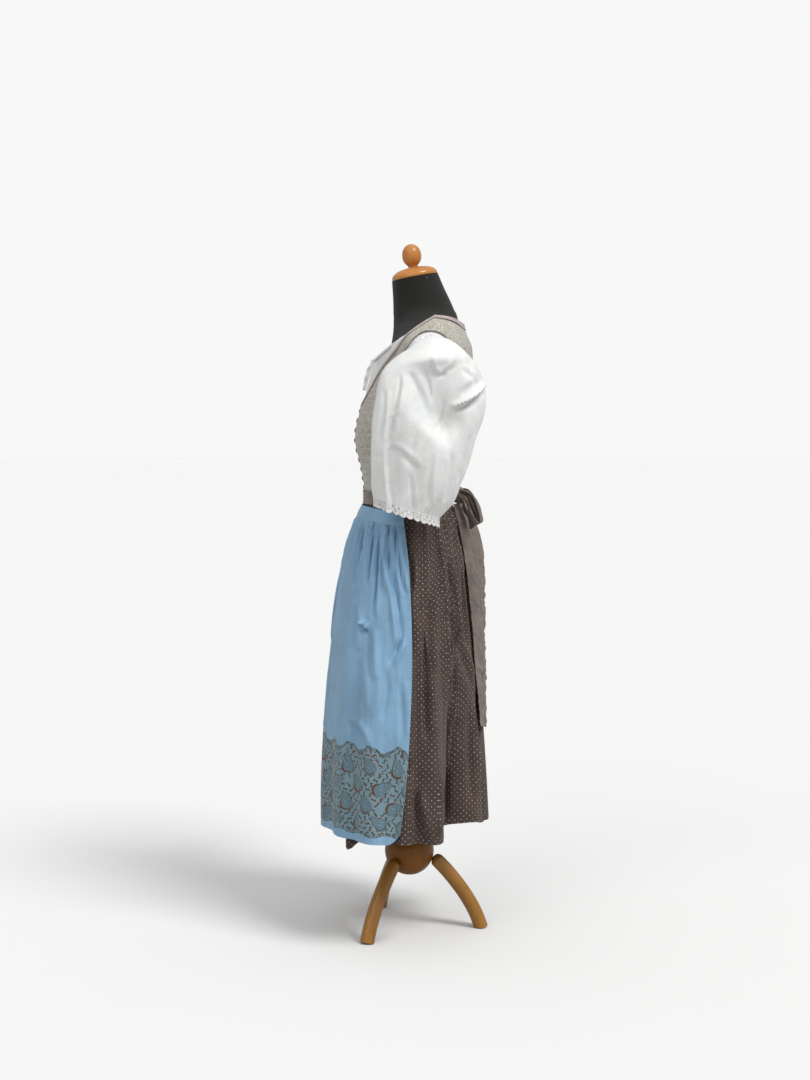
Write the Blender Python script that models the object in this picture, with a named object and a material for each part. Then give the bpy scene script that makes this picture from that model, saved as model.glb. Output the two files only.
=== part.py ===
"""Dirndl outfit worn by a limbless dress form on a three-legged wooden stand.

Run with: blender --background --python part.py
Metres, +Z up. The wearer faces -Y and the wearer's left is +X. The origin is on the floor, under the
middle of the whole object. Every cloth piece is one sheet worked out from the form's or the skirt's
sections, and a Solidify modifier gives it its thickness.
"""

import math
from collections import namedtuple

import bmesh
import bpy
from mathutils import Quaternion, Vector

MM = 0.001

# Driving dimensions
STAND_Y = 10 * MM  # the stand's axis, behind the middle of the whole object
TORSO_FOOT = 760 * MM  # underside of the padded torso
HEM = 250 * MM  # skirt hem above the floor
WAIST_SEAM = 977.5 * MM  # where the bodice ends and the skirt begins
APRON_TOP = 969.5 * MM
APRON_BAND = 28 * MM
SASH_FOOT, SASH_WIDTH = 971.2 * MM, 31 * MM

# Cloth: distance of each layer's middle from the form, and its thickness
BLOUSE_OUT, BLOUSE_THICK = 3.4 * MM, 1.0 * MM
BODICE_OUT, BODICE_THICK = 8.6 * MM, 1.8 * MM
TRIM_OUT, TRIM_THICK = 11.2 * MM, 1.6 * MM
SASH_OUT, SASH_THICK = 12.4 * MM, 1.8 * MM
SKIRT_THICK = 1.6 * MM
APRON_THICK = 1.4 * MM
RIBBON_THICK = 1.4 * MM
SEAM_GAP = 0.3 * MM
SHOULDER_GAP = 0.5 * MM  # what each panel stops short of the shoulder seam, which is curved

# Numbers of facets
TORSO_SIDES = 24
SKIRT_SIDES = 96  # round the whole skirt, half of them in each panel
APRON_SIDES = 54
SLEEVE_SIDES = 30
ARMHOLE_SIDES = 16
SASH_SIDES = 44

# The form's sections, in mm. Height is the middle of the section, tilt its fall towards the front in
# degrees, and shape the power of its superellipse: 2 is an ellipse and less is nearer a diamond.
Section = namedtuple("Section", "height half_width front mid back tilt shape")
FORM = [
    Section(760, 150, -88, 12, 104, 0, 2.3),
    Section(800, 157, -92, 12, 110, 0, 2.3),
    Section(860, 156, -93, 12, 113, 0, 2.2),
    Section(920, 134, -88, 12, 104, 0, 2.1),
    Section(985, 112, -81, 12, 95, 0, 2.1),
    Section(1040, 118, -85, 16, 105, 0, 2.1),
    Section(1100, 132, -88, 24, 121, 0, 2.2),
    Section(1150, 142, -84, 32, 130, 0, 2.2),
    Section(1200, 150, -77, 40, 137, 0, 2.1),
    Section(1250, 161, -63, 47, 142, 0, 2.0),
    Section(1290, 172, -48, 52, 143, 0, 2.0),
    Section(1320, 178, -36, 56, 140, 0, 2.0),
    Section(1336, 173, -32, 59, 133, 0, 1.9),
    Section(1350, 158, -30, 62, 128, 0, 1.7),
    Section(1366, 134, -28, 64, 122, 1, 1.6),
    Section(1380, 105, -27, 62, 120, 2, 1.6),
    Section(1391, 80, -26, 55, 116, 3, 1.8),
    Section(1399, 66, -26, 48, 110, 5, 2.0),
    Section(1415, 57, -26, 41, 102, 6.5, 2.0),
    Section(1445, 53, -27, 32, 87, 8.5, 2.0),
    Section(1476, 51, -29, 22, 73, 10.6, 2.0),
]
TORSO_RINGS = [760, 800, 870, 930, 985, 1050, 1128, 1200, 1260, 1305, 1335, 1354, 1370, 1383, 1393,
               1403, 1420, 1448, 1476]  # mm
TORSO_EASE, TORSO_EASE_TOP, TORSO_EASE_FADE = 3, 1405, 50  # mm: slimmer by this under the clothes, up to here
NECK_TOP = FORM[-1]
FORM_MIDDLE = 40 * MM  # a y inside every part of the chest and neck
# The bust stands forward of those sections, in mm: its height, its flat middle and its spread
BUST_HEIGHT, BUST_OUT, BUST_FLAT, BUST_SIDE = 1128, 18, 58, 52
BUST_RISE, BUST_FALL, BUST_DIP = 75, 60, 0.12

# The skirt's smooth sections in mm, before its folds
SkirtSection = namedtuple("SkirtSection", "height half_width front mid back shape")
SKIRT = [
    SkirtSection(250, 238, -168, 8, 180, 2.0),
    SkirtSection(350, 231, -168, 8, 175, 2.0),
    SkirtSection(500, 218, -163, 8, 166, 2.0),
    SkirtSection(650, 201, -152, 8, 155, 2.0),
    SkirtSection(800, 177, -133, 10, 140, 2.0),
    SkirtSection(880, 158, -117, 11, 128, 2.05),
    SkirtSection(940, 138, -100, 12, 116, 2.1),
    SkirtSection(968, 125, -91, 12, 105, 2.1),
    SkirtSection(977.5, 122, -89, 12, 103, 2.1),
]
SKIRT_ROWS = [977.5, 967, 935, 845, 690, 480, 250]  # mm
# Its large folds: the angle round the stand (0 is the wearer's left, 90 the back), how far the hem
# stands out (+) or in (-) there in mm, the half-width in degrees and how far up the fold reaches.
Fold = namedtuple("Fold", "angle out spread reach")
SKIRT_FOLDS = [
    Fold(-3, 14, 9, 0.70),
    Fold(7, -18, 6, 0.55),
    Fold(16, 22, 9, 0.80),
    Fold(43, -72, 11, 0.62),
    Fold(66, 8, 9, 0.85),
    Fold(78, -16, 6, 0.80),
    Fold(90, 9, 8, 0.90),
    Fold(103, -20, 6, 0.75),
    Fold(117, 8, 9, 0.80),
    Fold(138, -64, 11, 0.60),
    Fold(165, 20, 9, 0.80),
    Fold(174, -16, 6, 0.55),
    Fold(183, 14, 9, 0.70),
    Fold(-14, -24, 6, 0.60),
    Fold(-26, 8, 7, 0.70),
    Fold(-36, -30, 6, 0.60),
    Fold(-47, 8, 7, 0.70),
    Fold(-60, -26, 7, 0.65),
    Fold(-74, 8, 8, 0.70),
    Fold(-90, -22, 7, 0.70),
    Fold(-106, 8, 8, 0.70),
    Fold(-120, -26, 7, 0.65),
    Fold(-134, 8, 7, 0.70),
    Fold(-146, -30, 6, 0.60),
    Fold(-156, 8, 7, 0.70),
    Fold(-167, -24, 6, 0.60),
]
HemDip = namedtuple("HemDip", "angle down spread")  # degrees, mm, degrees
HEM_DIPS = [HemDip(-47, 30, 6), HemDip(-134, 24, 6), HemDip(57, -20, 16)]
SKIRT_GATHERS, SKIRT_GATHER_DEEP, SKIRT_GATHER_LONG = 24, 2.8 * MM, 330 * MM

# The apron stands this far outside the skirt's smooth sections, in mm at each height
ApronSection = namedtuple("ApronSection", "height outside")
APRON = [
    ApronSection(250, 21), ApronSection(400, 20), ApronSection(560, 17.5), ApronSection(700, 15),
    ApronSection(820, 12.5), ApronSection(900, 12), ApronSection(944, 9.5), ApronSection(970, 5.5),
]
APRON_ROWS = [0, 0.05, 0.17, 0.36, 0.58, 0.80, 1]  # from the band down to the hem
APRON_FOLDS = [
    Fold(-12, -5, 5, 0.9), Fold(-24, 8, 7, 1.0), Fold(-37, -6, 5, 1.0), Fold(-50, 6, 6, 1.0),
    Fold(-63, -6, 5, 1.0), Fold(-76, 5, 6, 1.0), Fold(-90, -5, 6, 1.0), Fold(-104, 5, 6, 1.0),
    Fold(-117, -6, 5, 1.0), Fold(-130, 6, 6, 1.0), Fold(-143, -6, 5, 1.0), Fold(-156, 8, 7, 1.0),
    Fold(-168, -5, 5, 0.9),
]
APRON_GATHERS, APRON_GATHER_DEEP, APRON_GATHER_LONG = 32, 3.4 * MM, 300 * MM  # as many as 32 all round
APRON_DROP = 22 * MM  # its top is this much lower at the sides than in the middle
# Its side edge in degrees from the wearer's side, by height in mm
ApronEdge = namedtuple("ApronEdge", "height angle")
APRON_EDGE = [
    ApronEdge(250, -6), ApronEdge(400, -1), ApronEdge(650, 2.5), ApronEdge(850, -1), ApronEdge(970, -8),
]
APRON_CORNER_RISE, APRON_CORNER_WIDE = 24 * MM, 0.10

# The left sleeve's rings in mm, from its armhole to its hem: the ends of each ring's width, its
# middle and half-depth along Y, and how much it falls for each mm towards the back.
Ring = namedtuple("Ring", "outer_x outer_z inner_x inner_z y half_depth fall")
SLEEVE = [
    Ring(179, 1341, 166, 1187, 53, 65, 0),
    Ring(212, 1337, 169, 1178, 53, 92, 0),
    Ring(247, 1313, 169, 1168, 56, 111, 0),
    Ring(270, 1270, 168, 1152, 55, 117, 0),
    Ring(280, 1212, 167, 1128, 48.5, 118, 0),
    Ring(281, 1152, 166, 1098, 41, 111, 0),
    Ring(276, 1094, 165, 1062, 34, 105, 0),
    Ring(267, 1044, 164, 1028, 25, 96, 0.06),
    Ring(257, 1008, 163, 1000, 16, 87, 0.18),
    Ring(248, 975, 162, 975, 3, 70, 0.32),
]
ARMHOLE_Y, ARMHOLE_Z, ARMHOLE_DEEP, ARMHOLE_HIGH = 55 * MM, 1268 * MM, 59 * MM, 72 * MM
ARMHOLE_ARCH = 1.4  # the power of its upper half: 1 is round, and more is nearer a pointed arch
BODICE_ARMHOLE_EASE = 1.085  # the bodice's armhole is this much larger than the blouse's
# Hollows and rolls in the sleeve's outer side, in mm: place, half-sizes, and depth (+ is inwards)
Dent = namedtuple("Dent", "y z half_deep half_high depth")
SLEEVE_DENTS = [
    Dent(62, 1200, 52, 50, 20), Dent(140, 1238, 30, 22, -8), Dent(-24, 1110, 14, 130, 7),
    Dent(118, 1120, 16, 90, 6), Dent(20, 1040, 16, 60, 5),
]
CAP_GATHERS, CAP_GATHER_DEEP = 10, 3.0 * MM
HEM_GATHER_DEEP = 2.5 * MM
LACE_SCALLOPS, LACE_VALLEY, LACE_POINT = 24, 11 * MM, 18 * MM

# Necklines, as distance from the middle and height in mm, and where each meets its shoulder seam
Edge = namedtuple("Edge", "across height")
FRONT_NECK = [
    Edge(0, 1188), Edge(30, 1202), Edge(52, 1229), Edge(64, 1252), Edge(78, 1270), Edge(96, 1286),
    Edge(113, 1301), Edge(127, 1315), Edge(136, 1329), Edge(138, 1344), Edge(134, 1357), Edge(126, 1368),
]
BACK_NECK = [Edge(0, 1367), Edge(27, 1368), Edge(55, 1371), Edge(82, 1375)]
BODICE_SHOULDER = 1377 * MM
BLOUSE_NECK = [
    Edge(0, 1292), Edge(20, 1294), Edge(42, 1300), Edge(64, 1309), Edge(86, 1319), Edge(106, 1330),
    Edge(122, 1341), Edge(134, 1350),
]
BLOUSE_BACK_NECK = [Edge(0, 1298), Edge(35, 1300), Edge(72, 1317), Edge(112, 1345)]
BLOUSE_SHOULDER = 1362 * MM
BLOUSE_FOOT = 1085 * MM  # a short blouse, ending under the bust
PUFF_CLEAR = 12  # mm: the puff starts this far inside the bodice's neckline
# How far the gathered blouse front stands off the chest in the middle, in mm
Puff = namedtuple("Puff", "height off")
BLOUSE_PUFF = [Puff(1200, 0), Puff(1210, 5), Puff(1224, 9), Puff(1246, 12), Puff(1272, 15), Puff(1300, 17)]
BLOUSE_LOW_ROWS, BLOUSE_NECK_ROWS = 6, 6  # below the neckline and along it

PIPING_FRONT, PIPING_BACK = 7 * MM, 13 * MM
BINDING_WIDE, BINDING_RISE, BINDING_ROWS = 6 * MM, 2.7 * MM, 3
# The frill stands forward from the slit in the middle of the blouse's neckline
FRILL_STEPS, FRILL_WIDE, FRILL_DEEP, FRILL_WAVES = 20, 10 * MM, 3.5 * MM, 4
FRILL_ROWS, FRILL_REACH = 2, 0.88  # rows of the blouse that the slit runs down, and how far up them it goes
BUTTONS, BUTTON_TOP, BUTTON_STEP = 9, 1176 * MM, 21 * MM
BUTTON_RADIUS, BUTTON_HIGH, BUTTON_OFF = 5.5 * MM, 4.2 * MM, 1.9 * MM

# Bow at the back of the sash, in mm: its knot, then its loops, each a ribbon folded back on itself
KNOT_Y, KNOT_Z, KNOT_HALF = 124.5, 990, (17, 10.5, 15)
LOOP_START, LOOP_THICK, LOOP_WIDE, LOOP_PINCH, LOOP_TWIST = 8, 30, 46, 28, 35
# From the knot's end, the left loop's middle line heads for the first place and ends at the second
LOOP_HEAD, LOOP_TIP = Vector((32, 12, -8)), Vector((50, 33, -66))
# Edges of the tails by height, in mm
Tail = namedtuple("Tail", "height inner_x inner_y outer_x outer_y")
TAIL_LEFT = [
    Tail(972, 3, 131, 15, 124), Tail(930, 6, 158, 34, 130), Tail(890, 8, 171, 50, 134),
    Tail(843, 9, 178, 62, 138), Tail(724, 10, 180, 70, 151), Tail(600, 11, 181, 74, 161),
    Tail(463, 12, 183, 77, 172),
]
TAIL_RIGHT = [
    Tail(972, -4, 129, -16, 124), Tail(930, -22, 137, -46, 128), Tail(890, -30, 141, -66, 128),
    Tail(843, -36, 144, -82, 131), Tail(724, -42, 152, -94, 139), Tail(600, -45, 163, -99, 150),
    Tail(478, -47, 173, -102, 163),
]
TAIL_COLUMNS, TAIL_ROWS, TAIL_CRINKLE, TAIL_SLANT = 4, 14, 2.2, 14

# Stand, in mm: turned profiles as radius and height up the outside
CAP_PROFILE = [(51, 0), (51.5, 2), (49.5, 8), (44, 13.5), (33, 18.5), (17, 21.5)]
CAP_HIGH = 22
FINIAL_PROFILE = [(11, 0), (11.3, 3), (16.5, 8.5), (20.5, 16.5), (21.3, 25.5), (20, 34.5), (16, 42.5), (9, 48.5)]
FINIAL_HIGH, FINIAL_LEAN, FINIAL_SEAT = 51, 6.5, 1.2
HUB_RADIUS, HUB_HEIGHT, HUB_RINGS = 56 * MM, 176 * MM, 9
POLE_RADIUS = 13 * MM
LEG_RADIUS, LEG_SIDES, LEG_CLEAR = 16 * MM, 12, 1.3 * MM
LEG_ANGLES = {"leg_back": 85, "leg_left": -35, "leg_right": 205}  # degrees round the stand
# Leg centre line: distance from the stand's axis and height, in mm
LEG_LINE = [(58, 161), (84, 133), (112, 99), (134, 67), (152, 34), (165, 0)]

MATERIALS = {
    "black_jersey": ((0.012, 0.013, 0.012), 0.85, 0.0),
    "light_wood": ((0.50, 0.24, 0.07), 0.35, 0.0),
    "dark_wood": ((0.17, 0.065, 0.012), 0.35, 0.0),
    "white_cotton": ((0.80, 0.80, 0.79), 0.8, 0.0),
    "grey_brocade": ((0.36, 0.34, 0.31), 0.7, 0.0),
    "taupe_satin": ((0.19, 0.155, 0.13), 0.4, 0.0),
    "blue_cotton": ((0.20, 0.38, 0.60), 0.75, 0.0),
    "brown_dotted": ((0.07, 0.05, 0.045), 0.8, 0.0),
    "dark_metal": ((0.16, 0.15, 0.14), 0.4, 0.9),
}


def clear_scene():
    for obj in list(bpy.data.objects):
        bpy.data.objects.remove(obj)


def finish_material(name):
    """A Principled material, made once for each name in MATERIALS."""
    found = bpy.data.materials.get(name)
    if found:
        return found
    colour, rough, metal = MATERIALS[name]
    made = bpy.data.materials.new(name)
    made.use_nodes = True
    shader = made.node_tree.nodes["Principled BSDF"]
    shader.inputs["Base Color"].default_value = (*colour, 1.0)
    shader.inputs["Roughness"].default_value = rough
    shader.inputs["Metallic"].default_value = metal
    return made


def add_object(name, bm, finish, thickness=0.0):
    """A named object from a bmesh. A sheet is given its thickness, half to each side."""
    bmesh.ops.remove_doubles(bm, verts=bm.verts, dist=0.02 * MM)
    bmesh.ops.recalc_face_normals(bm, faces=bm.faces)
    mesh = bpy.data.meshes.new(name)
    bm.to_mesh(mesh)
    bm.free()
    mesh.shade_smooth()
    obj = bpy.data.objects.new(name, mesh)
    bpy.context.scene.collection.objects.link(obj)
    mesh.materials.append(finish_material(finish))
    if thickness:
        wall = obj.modifiers.new("Cloth thickness", "SOLIDIFY")
        wall.thickness = thickness
        wall.offset = 0
    return obj


def grid(rows, closed=False):
    """A bmesh of quads through rows of points; closed joins each row's end to its start."""
    bm = bmesh.new()
    lines = [[bm.verts.new(p) for p in row] for row in rows]
    for low, high in zip(lines, lines[1:]):
        count = len(low)
        for i in range(count if closed else count - 1):
            j = (i + 1) % count
            bm.faces.new((low[i], low[j], high[j], high[i]))
    return bm


def sheet(name, rows, finish, thickness, closed=False):
    return add_object(name, grid(rows, closed), finish, thickness)


def solid_tube(name, rings, finish, start=None, end=None):
    """A closed solid through rings, its ends capped by fans round the points start and end."""
    bm = grid(rings, closed=True)
    bm.verts.ensure_lookup_table()
    count = len(rings[0])
    for ring, middle in ((bm.verts[:count], start), (bm.verts[-count:], end)):
        centre = bm.verts.new(middle or sum((v.co for v in ring), Vector()) / count)
        for i in range(count):
            bm.faces.new((ring[i], ring[(i + 1) % count], centre))
    return add_object(name, bm, finish)


def turned(name, profile, top, foot, finish, sides, lean=0.0):
    """A turned solid: its profile runs up the outside from a flat foot, and top closes it (all mm)."""
    rings = []
    for radius, height in profile:
        turns = [2 * math.pi * i / sides for i in range(sides)]
        rings.append([Vector((radius * math.cos(a), radius * math.sin(a), height)) * MM for a in turns])
    start, end = Vector((0, 0, profile[0][1])) * MM, Vector((0, 0, top)) * MM
    obj = solid_tube(name, rings, finish, start, end)
    obj.location = foot
    obj.rotation_euler = (lean, 0, 0)
    return obj


def at_height(table, height):
    """The table's columns at a height in mm, along smooth curves through its rows."""
    if height <= table[0].height:
        return table[0]
    if height >= table[-1].height:
        return table[-1]
    i = next(k for k, row in enumerate(table) if row.height > height) - 1
    low, high = table[i], table[i + 1]
    before, after = table[max(i - 1, 0)], table[min(i + 2, len(table) - 1)]
    span = high.height - low.height
    t = (height - low.height) / span
    found = []
    for a, b, c, d in zip(before, low, high, after):
        leaving = (c - a) / (high.height - before.height) * span
        arriving = (d - b) / (after.height - low.height) * span
        found.append(
            (2 * t**3 - 3 * t**2 + 1) * b + (t**3 - 2 * t**2 + t) * leaving
            + (3 * t**2 - 2 * t**3) * c + (t**3 - t**2) * arriving
        )
    return type(low)(*found)


def bulge(distance, half):
    return math.exp(-((distance / half) ** 2))


def signed_power(value, power):
    return math.copysign(abs(value) ** power, value)


def section_point(section, angle):
    """(x, y) in mm of a section's outline. Angle in radians: 0 is the left side and 90 degrees the back."""
    c, n = math.cos(angle), math.sin(angle)
    deep = (section.back - section.mid) if n > 0 else (section.mid - section.front)
    power = 2 / section.shape
    return section.half_width * signed_power(c, power), section.mid + deep * signed_power(n, power)


def bare_form_point(angle, height):
    s = at_height(FORM, height / MM)
    x, y = section_point(s, angle)
    if y < s.mid:
        above = height / MM - BUST_HEIGHT
        level = bulge(above, BUST_RISE if above > 0 else BUST_FALL)
        across = bulge(max(abs(x) - BUST_FLAT, 0), BUST_SIDE) * (1 - BUST_DIP * bulge(x, 30))
        y -= BUST_OUT * level * across * abs(math.sin(angle)) ** 0.5
    z = height / MM + (y - s.mid) * math.tan(math.radians(s.tilt))
    return Vector((x, y, z)) * MM


def form_normal(angle, height):
    step = 1e-3
    turn = bare_form_point(angle + step, height) - bare_form_point(angle - step, height)
    up = bare_form_point(angle, height + 0.5 * MM) - bare_form_point(angle, height - 0.5 * MM)
    return turn.cross(up).normalized()


def form_point(angle, height, out=0.0):
    """A point of the form's surface, moved out from it."""
    here = bare_form_point(angle, height)
    return here + form_normal(angle, height) * out if out else here


def angle_across(across, height, back):
    """The angle at which the form is that far from the middle, on its front or back half."""
    s = at_height(FORM, height)
    turn = math.acos(min(across / s.half_width, 1.0) ** (s.shape / 2))
    return turn if back else -turn


def angle_beside(y, height):
    """The angle at which the form's left side has that y."""
    s = at_height(FORM, height / MM)
    away = y / MM - s.mid
    deep = (s.back - s.mid) if away > 0 else (s.mid - s.front)
    return math.copysign(math.asin(min(abs(away) / deep, 1.0) ** (s.shape / 2)), away)


def armhole(turn, ease=1.0):
    """(angle, height) on the form of the armhole's loop. Turn 0 is its back and 90 degrees its top."""
    y = ARMHOLE_Y + ARMHOLE_DEEP * ease * math.cos(turn)
    up = math.sin(turn)
    z = ARMHOLE_Z + ARMHOLE_HIGH * ease * (up**ARMHOLE_ARCH if up > 0 else up)
    return angle_beside(y, z), z


def along(points, count):
    """count + 1 points evenly spaced along (angle, height) pairs, as measured on the form."""
    places = [form_point(*p) for p in points]
    lengths = [0.0]
    for a, b in zip(places, places[1:]):
        lengths.append(lengths[-1] + (b - a).length)
    found = []
    for k in range(count + 1):
        target = lengths[-1] * k / count
        i = max(j for j in range(len(lengths) - 1) if lengths[j] <= target + 1e-12)
        t = (target - lengths[i]) / (lengths[i + 1] - lengths[i])
        found.append(tuple(a + (b - a) * t for a, b in zip(points[i], points[i + 1])))
    return found


def neck_edge(neck, back, shoulder):
    """(angle, height) pairs along a panel's neckline, from its middle to the shoulder."""
    return [(angle_across(e.across, e.height, back), e.height * MM) for e in neck] + [(0.0, shoulder)]


def middle_rows(foot, neck, low_count, neck_count):
    """(angle, height) pairs up the middle of a panel and then along its neckline."""
    angle, top = neck[0]
    rise = [(angle, foot + (top - foot) * k / low_count) for k in range(low_count)]
    return rise + along(neck, neck_count)


def side_rows(foot, back, ease, seam_count, arc_count):
    """(angle, height) pairs up the side seam and then round the armhole to the shoulder."""
    low = armhole(-math.pi / 2, ease)
    seam = [(low[0] * k / seam_count, foot + (low[1] - foot) * k / seam_count) for k in range(seam_count)]
    sweep = math.pi if back else -math.pi
    return seam + [armhole(-math.pi / 2 + sweep * k / arc_count, ease) for k in range(arc_count + 1)]


def panel_rows(middle, side, columns, out, puff=None):
    """Points of a left half panel, in rows from its middle or neckline to its side or armhole."""
    found = []
    for (a0, h0), (a1, h1) in zip(middle, side):
        row = []
        for k in range(columns + 1):
            t = k / columns
            p = form_point(a0 + (a1 - a0) * t, h0 + (h1 - h0) * t, out)
            if puff:
                p.y -= puff(p.x, p.z)
            row.append(p)
        found.append(row)
    for row in found:
        row[-1] += (row[-2] - row[-1]).normalized() * SEAM_GAP
    for low, high in zip(found[-2], found[-1]):
        high += (low - high).normalized() * SHOULDER_GAP
    return found


def mirrored(rows):
    """The rows' mirror image across the middle, from the wearer's right."""
    return [[Vector((-p.x, p.y, p.z)) for p in reversed(row)] for row in rows]


def both_halves(rows):
    """Rows right across a panel whose left half is given. Above its neckline the halves don't meet."""
    bm = grid(rows)
    right = bpy.data.meshes.new("right half")
    other = grid(mirrored(rows))
    other.to_mesh(right)
    other.free()
    bm.from_mesh(right)
    bpy.data.meshes.remove(right)
    return bm


def strip_beside(rows, first, wide, out):
    """Two-point rows beside a panel's neckline, from the row where it starts, moved out from the panel."""
    found = []
    for i in range(first, len(rows)):
        here = rows[i][0]
        inward = (rows[i - 1][0] - here if i == first else rows[i][1] - here).normalized()
        ahead = rows[min(i + 1, len(rows) - 1)][0] - (here if i == first else rows[i - 1][0])
        normal = inward.cross(ahead).normalized()
        if i == first:
            normal = Vector((0, inward.z, -inward.y)) * math.copysign(1, here.y * inward.z)
        elif normal.dot(here - Vector((0, FORM_MIDDLE, here.z))) < 0:
            normal.negate()
        found.append([here + normal * out, here + inward * wide + normal * out])
    return found


def build_stand():
    """The padded torso with its neck cap and finial, and the pole, hub and legs that carry it."""
    turns = [2 * math.pi * i / TORSO_SIDES for i in range(TORSO_SIDES)]
    rings = []
    for height in TORSO_RINGS:
        slimmer = TORSO_EASE * min(max((TORSO_EASE_TOP - height) / TORSO_EASE_FADE, 0.0), 1.0)
        rings.append([form_point(a, height * MM, -slimmer * MM) for a in turns])
    rings[0] = [Vector((p.x, p.y, TORSO_FOOT)) for p in rings[0]]
    solid_tube("torso_form", rings, "black_jersey")
    lean = math.radians(NECK_TOP.tilt)
    normal = Vector((0, -math.sin(lean), math.cos(lean)))
    neck = Vector((0, NECK_TOP.mid, NECK_TOP.height)) * MM
    turned("neck_cap", CAP_PROFILE, CAP_HIGH, neck + normal * SEAM_GAP, "light_wood", 26, lean)
    seat = neck + normal * (CAP_HIGH + FINIAL_SEAT) * MM
    turned("finial", FINIAL_PROFILE, FINIAL_HIGH, seat, "light_wood", 18, math.radians(FINIAL_LEAN))
    ball = []
    for step in range(1, HUB_RINGS + 1):
        lift = math.pi * step / (HUB_RINGS + 1) - math.pi / 2
        ball.append((HUB_RADIUS * math.cos(lift) / MM, HUB_RADIUS * math.sin(lift) / MM))
    turned("hub", ball, ball[-1][1], (0, STAND_Y, HUB_HEIGHT), "dark_wood", 24)
    pole_foot = HUB_HEIGHT + ball[-1][1] * MM + SEAM_GAP
    pole_high = (TORSO_FOOT - SEAM_GAP - pole_foot) / MM
    pole = [(POLE_RADIUS / MM, 0), (POLE_RADIUS / MM, pole_high)]
    turned("pole", pole, pole_high, (0, STAND_Y, pole_foot), "light_wood", 16)
    for name, degrees in LEG_ANGLES.items():
        build_leg(name, math.radians(degrees))


def build_leg(name, angle):
    """A round leg, its top shaped to the hub with a small gap and its foot cut flat on the floor."""
    outward = Vector((math.cos(angle), math.sin(angle), 0))
    across = Vector((-math.sin(angle), math.cos(angle), 0))
    line = [outward * r * MM + Vector((0, STAND_Y, z * MM)) for r, z in LEG_LINE]
    hub = Vector((0, STAND_Y, HUB_HEIGHT))
    rings = []
    for i, centre in enumerate(line):
        ahead = (line[min(i + 1, len(line) - 1)] - line[max(i - 1, 0)]).normalized()
        lift = across.cross(ahead)
        ring = []
        for k in range(LEG_SIDES):
            turn = 2 * math.pi * k / LEG_SIDES
            ring.append(centre + (across * math.cos(turn) + lift * math.sin(turn)) * LEG_RADIUS)
        if i == 0:
            ring = [onto_ball(p, ahead, hub, HUB_RADIUS + LEG_CLEAR) for p in ring]
            start = onto_ball(centre, ahead, hub, HUB_RADIUS + LEG_CLEAR)
        if i == len(line) - 1:
            ring = [p - ahead * (p.z / ahead.z) for p in ring]
        rings.append(ring)
    solid_tube(name, rings, "light_wood", start, line[-1])


def onto_ball(point, direction, centre, radius):
    """Where a line through the point leaves the ball, on the side that direction points to."""
    from_centre = point - centre
    b = from_centre.dot(direction)
    c = from_centre.dot(from_centre) - radius * radius
    return point + direction * (math.sqrt(b * b - c) - b)


def neck_half_width(height):
    """Half the width of the bodice's front neckline at a height in mm."""
    if height <= FRONT_NECK[0].height:
        return 0.0
    for low, high in zip(FRONT_NECK, FRONT_NECK[1:]):
        if height <= high.height:
            share = (height - low.height) / (high.height - low.height)
            return low.across + (high.across - low.across) * share
    return FRONT_NECK[-1].across


def blouse_puff(x, z):
    """How far the gathered blouse front stands forward, nothing where the bodice lies on it."""
    half = neck_half_width(z / MM) - PUFF_CLEAR
    if half <= 0 or abs(x) / MM >= half:
        return 0.0
    return at_height(BLOUSE_PUFF, z / MM).off * MM * (1 - (x / MM / half) ** 2) ** 1.3


def build_bodice():
    """Two fronts that meet at the buttons, a back, and the piping round the neckline."""
    middle = middle_rows(WAIST_SEAM, neck_edge(FRONT_NECK, False, BODICE_SHOULDER), 8, 9)
    side = side_rows(WAIST_SEAM, False, BODICE_ARMHOLE_EASE, 8, 9)
    front = panel_rows(middle, side, 9, BODICE_OUT)
    for row in front:
        row[0].x = max(row[0].x, SEAM_GAP / 2)
    sheet("bodice_front_left", front, "grey_brocade", BODICE_THICK)
    sheet("bodice_front_right", mirrored(front), "grey_brocade", BODICE_THICK)
    middle = middle_rows(WAIST_SEAM, neck_edge(BACK_NECK, True, BODICE_SHOULDER), 11, 4)
    side = side_rows(WAIST_SEAM, True, BODICE_ARMHOLE_EASE, 8, 7)
    back = panel_rows(middle, side, 7, BODICE_OUT)
    add_object("bodice_back", both_halves(back), "grey_brocade", BODICE_THICK)
    rise = TRIM_OUT - BODICE_OUT
    left = strip_beside(front, 8, PIPING_FRONT, rise)
    sheet("piping_front_left", left, "taupe_satin", TRIM_THICK)
    sheet("piping_front_right", mirrored(left), "taupe_satin", TRIM_THICK)
    behind = strip_beside(back, 11, PIPING_BACK, rise)
    add_object("piping_back", both_halves(behind), "taupe_satin", TRIM_THICK)


def build_buttons():
    for i in range(BUTTONS):
        height = BUTTON_TOP - i * BUTTON_STEP
        normal = form_normal(-math.pi / 2, height)
        place = form_point(-math.pi / 2, height, BODICE_OUT + BUTTON_OFF)
        rim, high = BUTTON_RADIUS / MM, BUTTON_HIGH / MM
        profile = [(rim, 0), (rim * 0.75, high * 0.75)]
        button = turned(f"button_{i + 1}", profile, high, place, "dark_metal", 8)
        button.rotation_euler = normal.to_track_quat("Z", "Y").to_euler()


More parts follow.
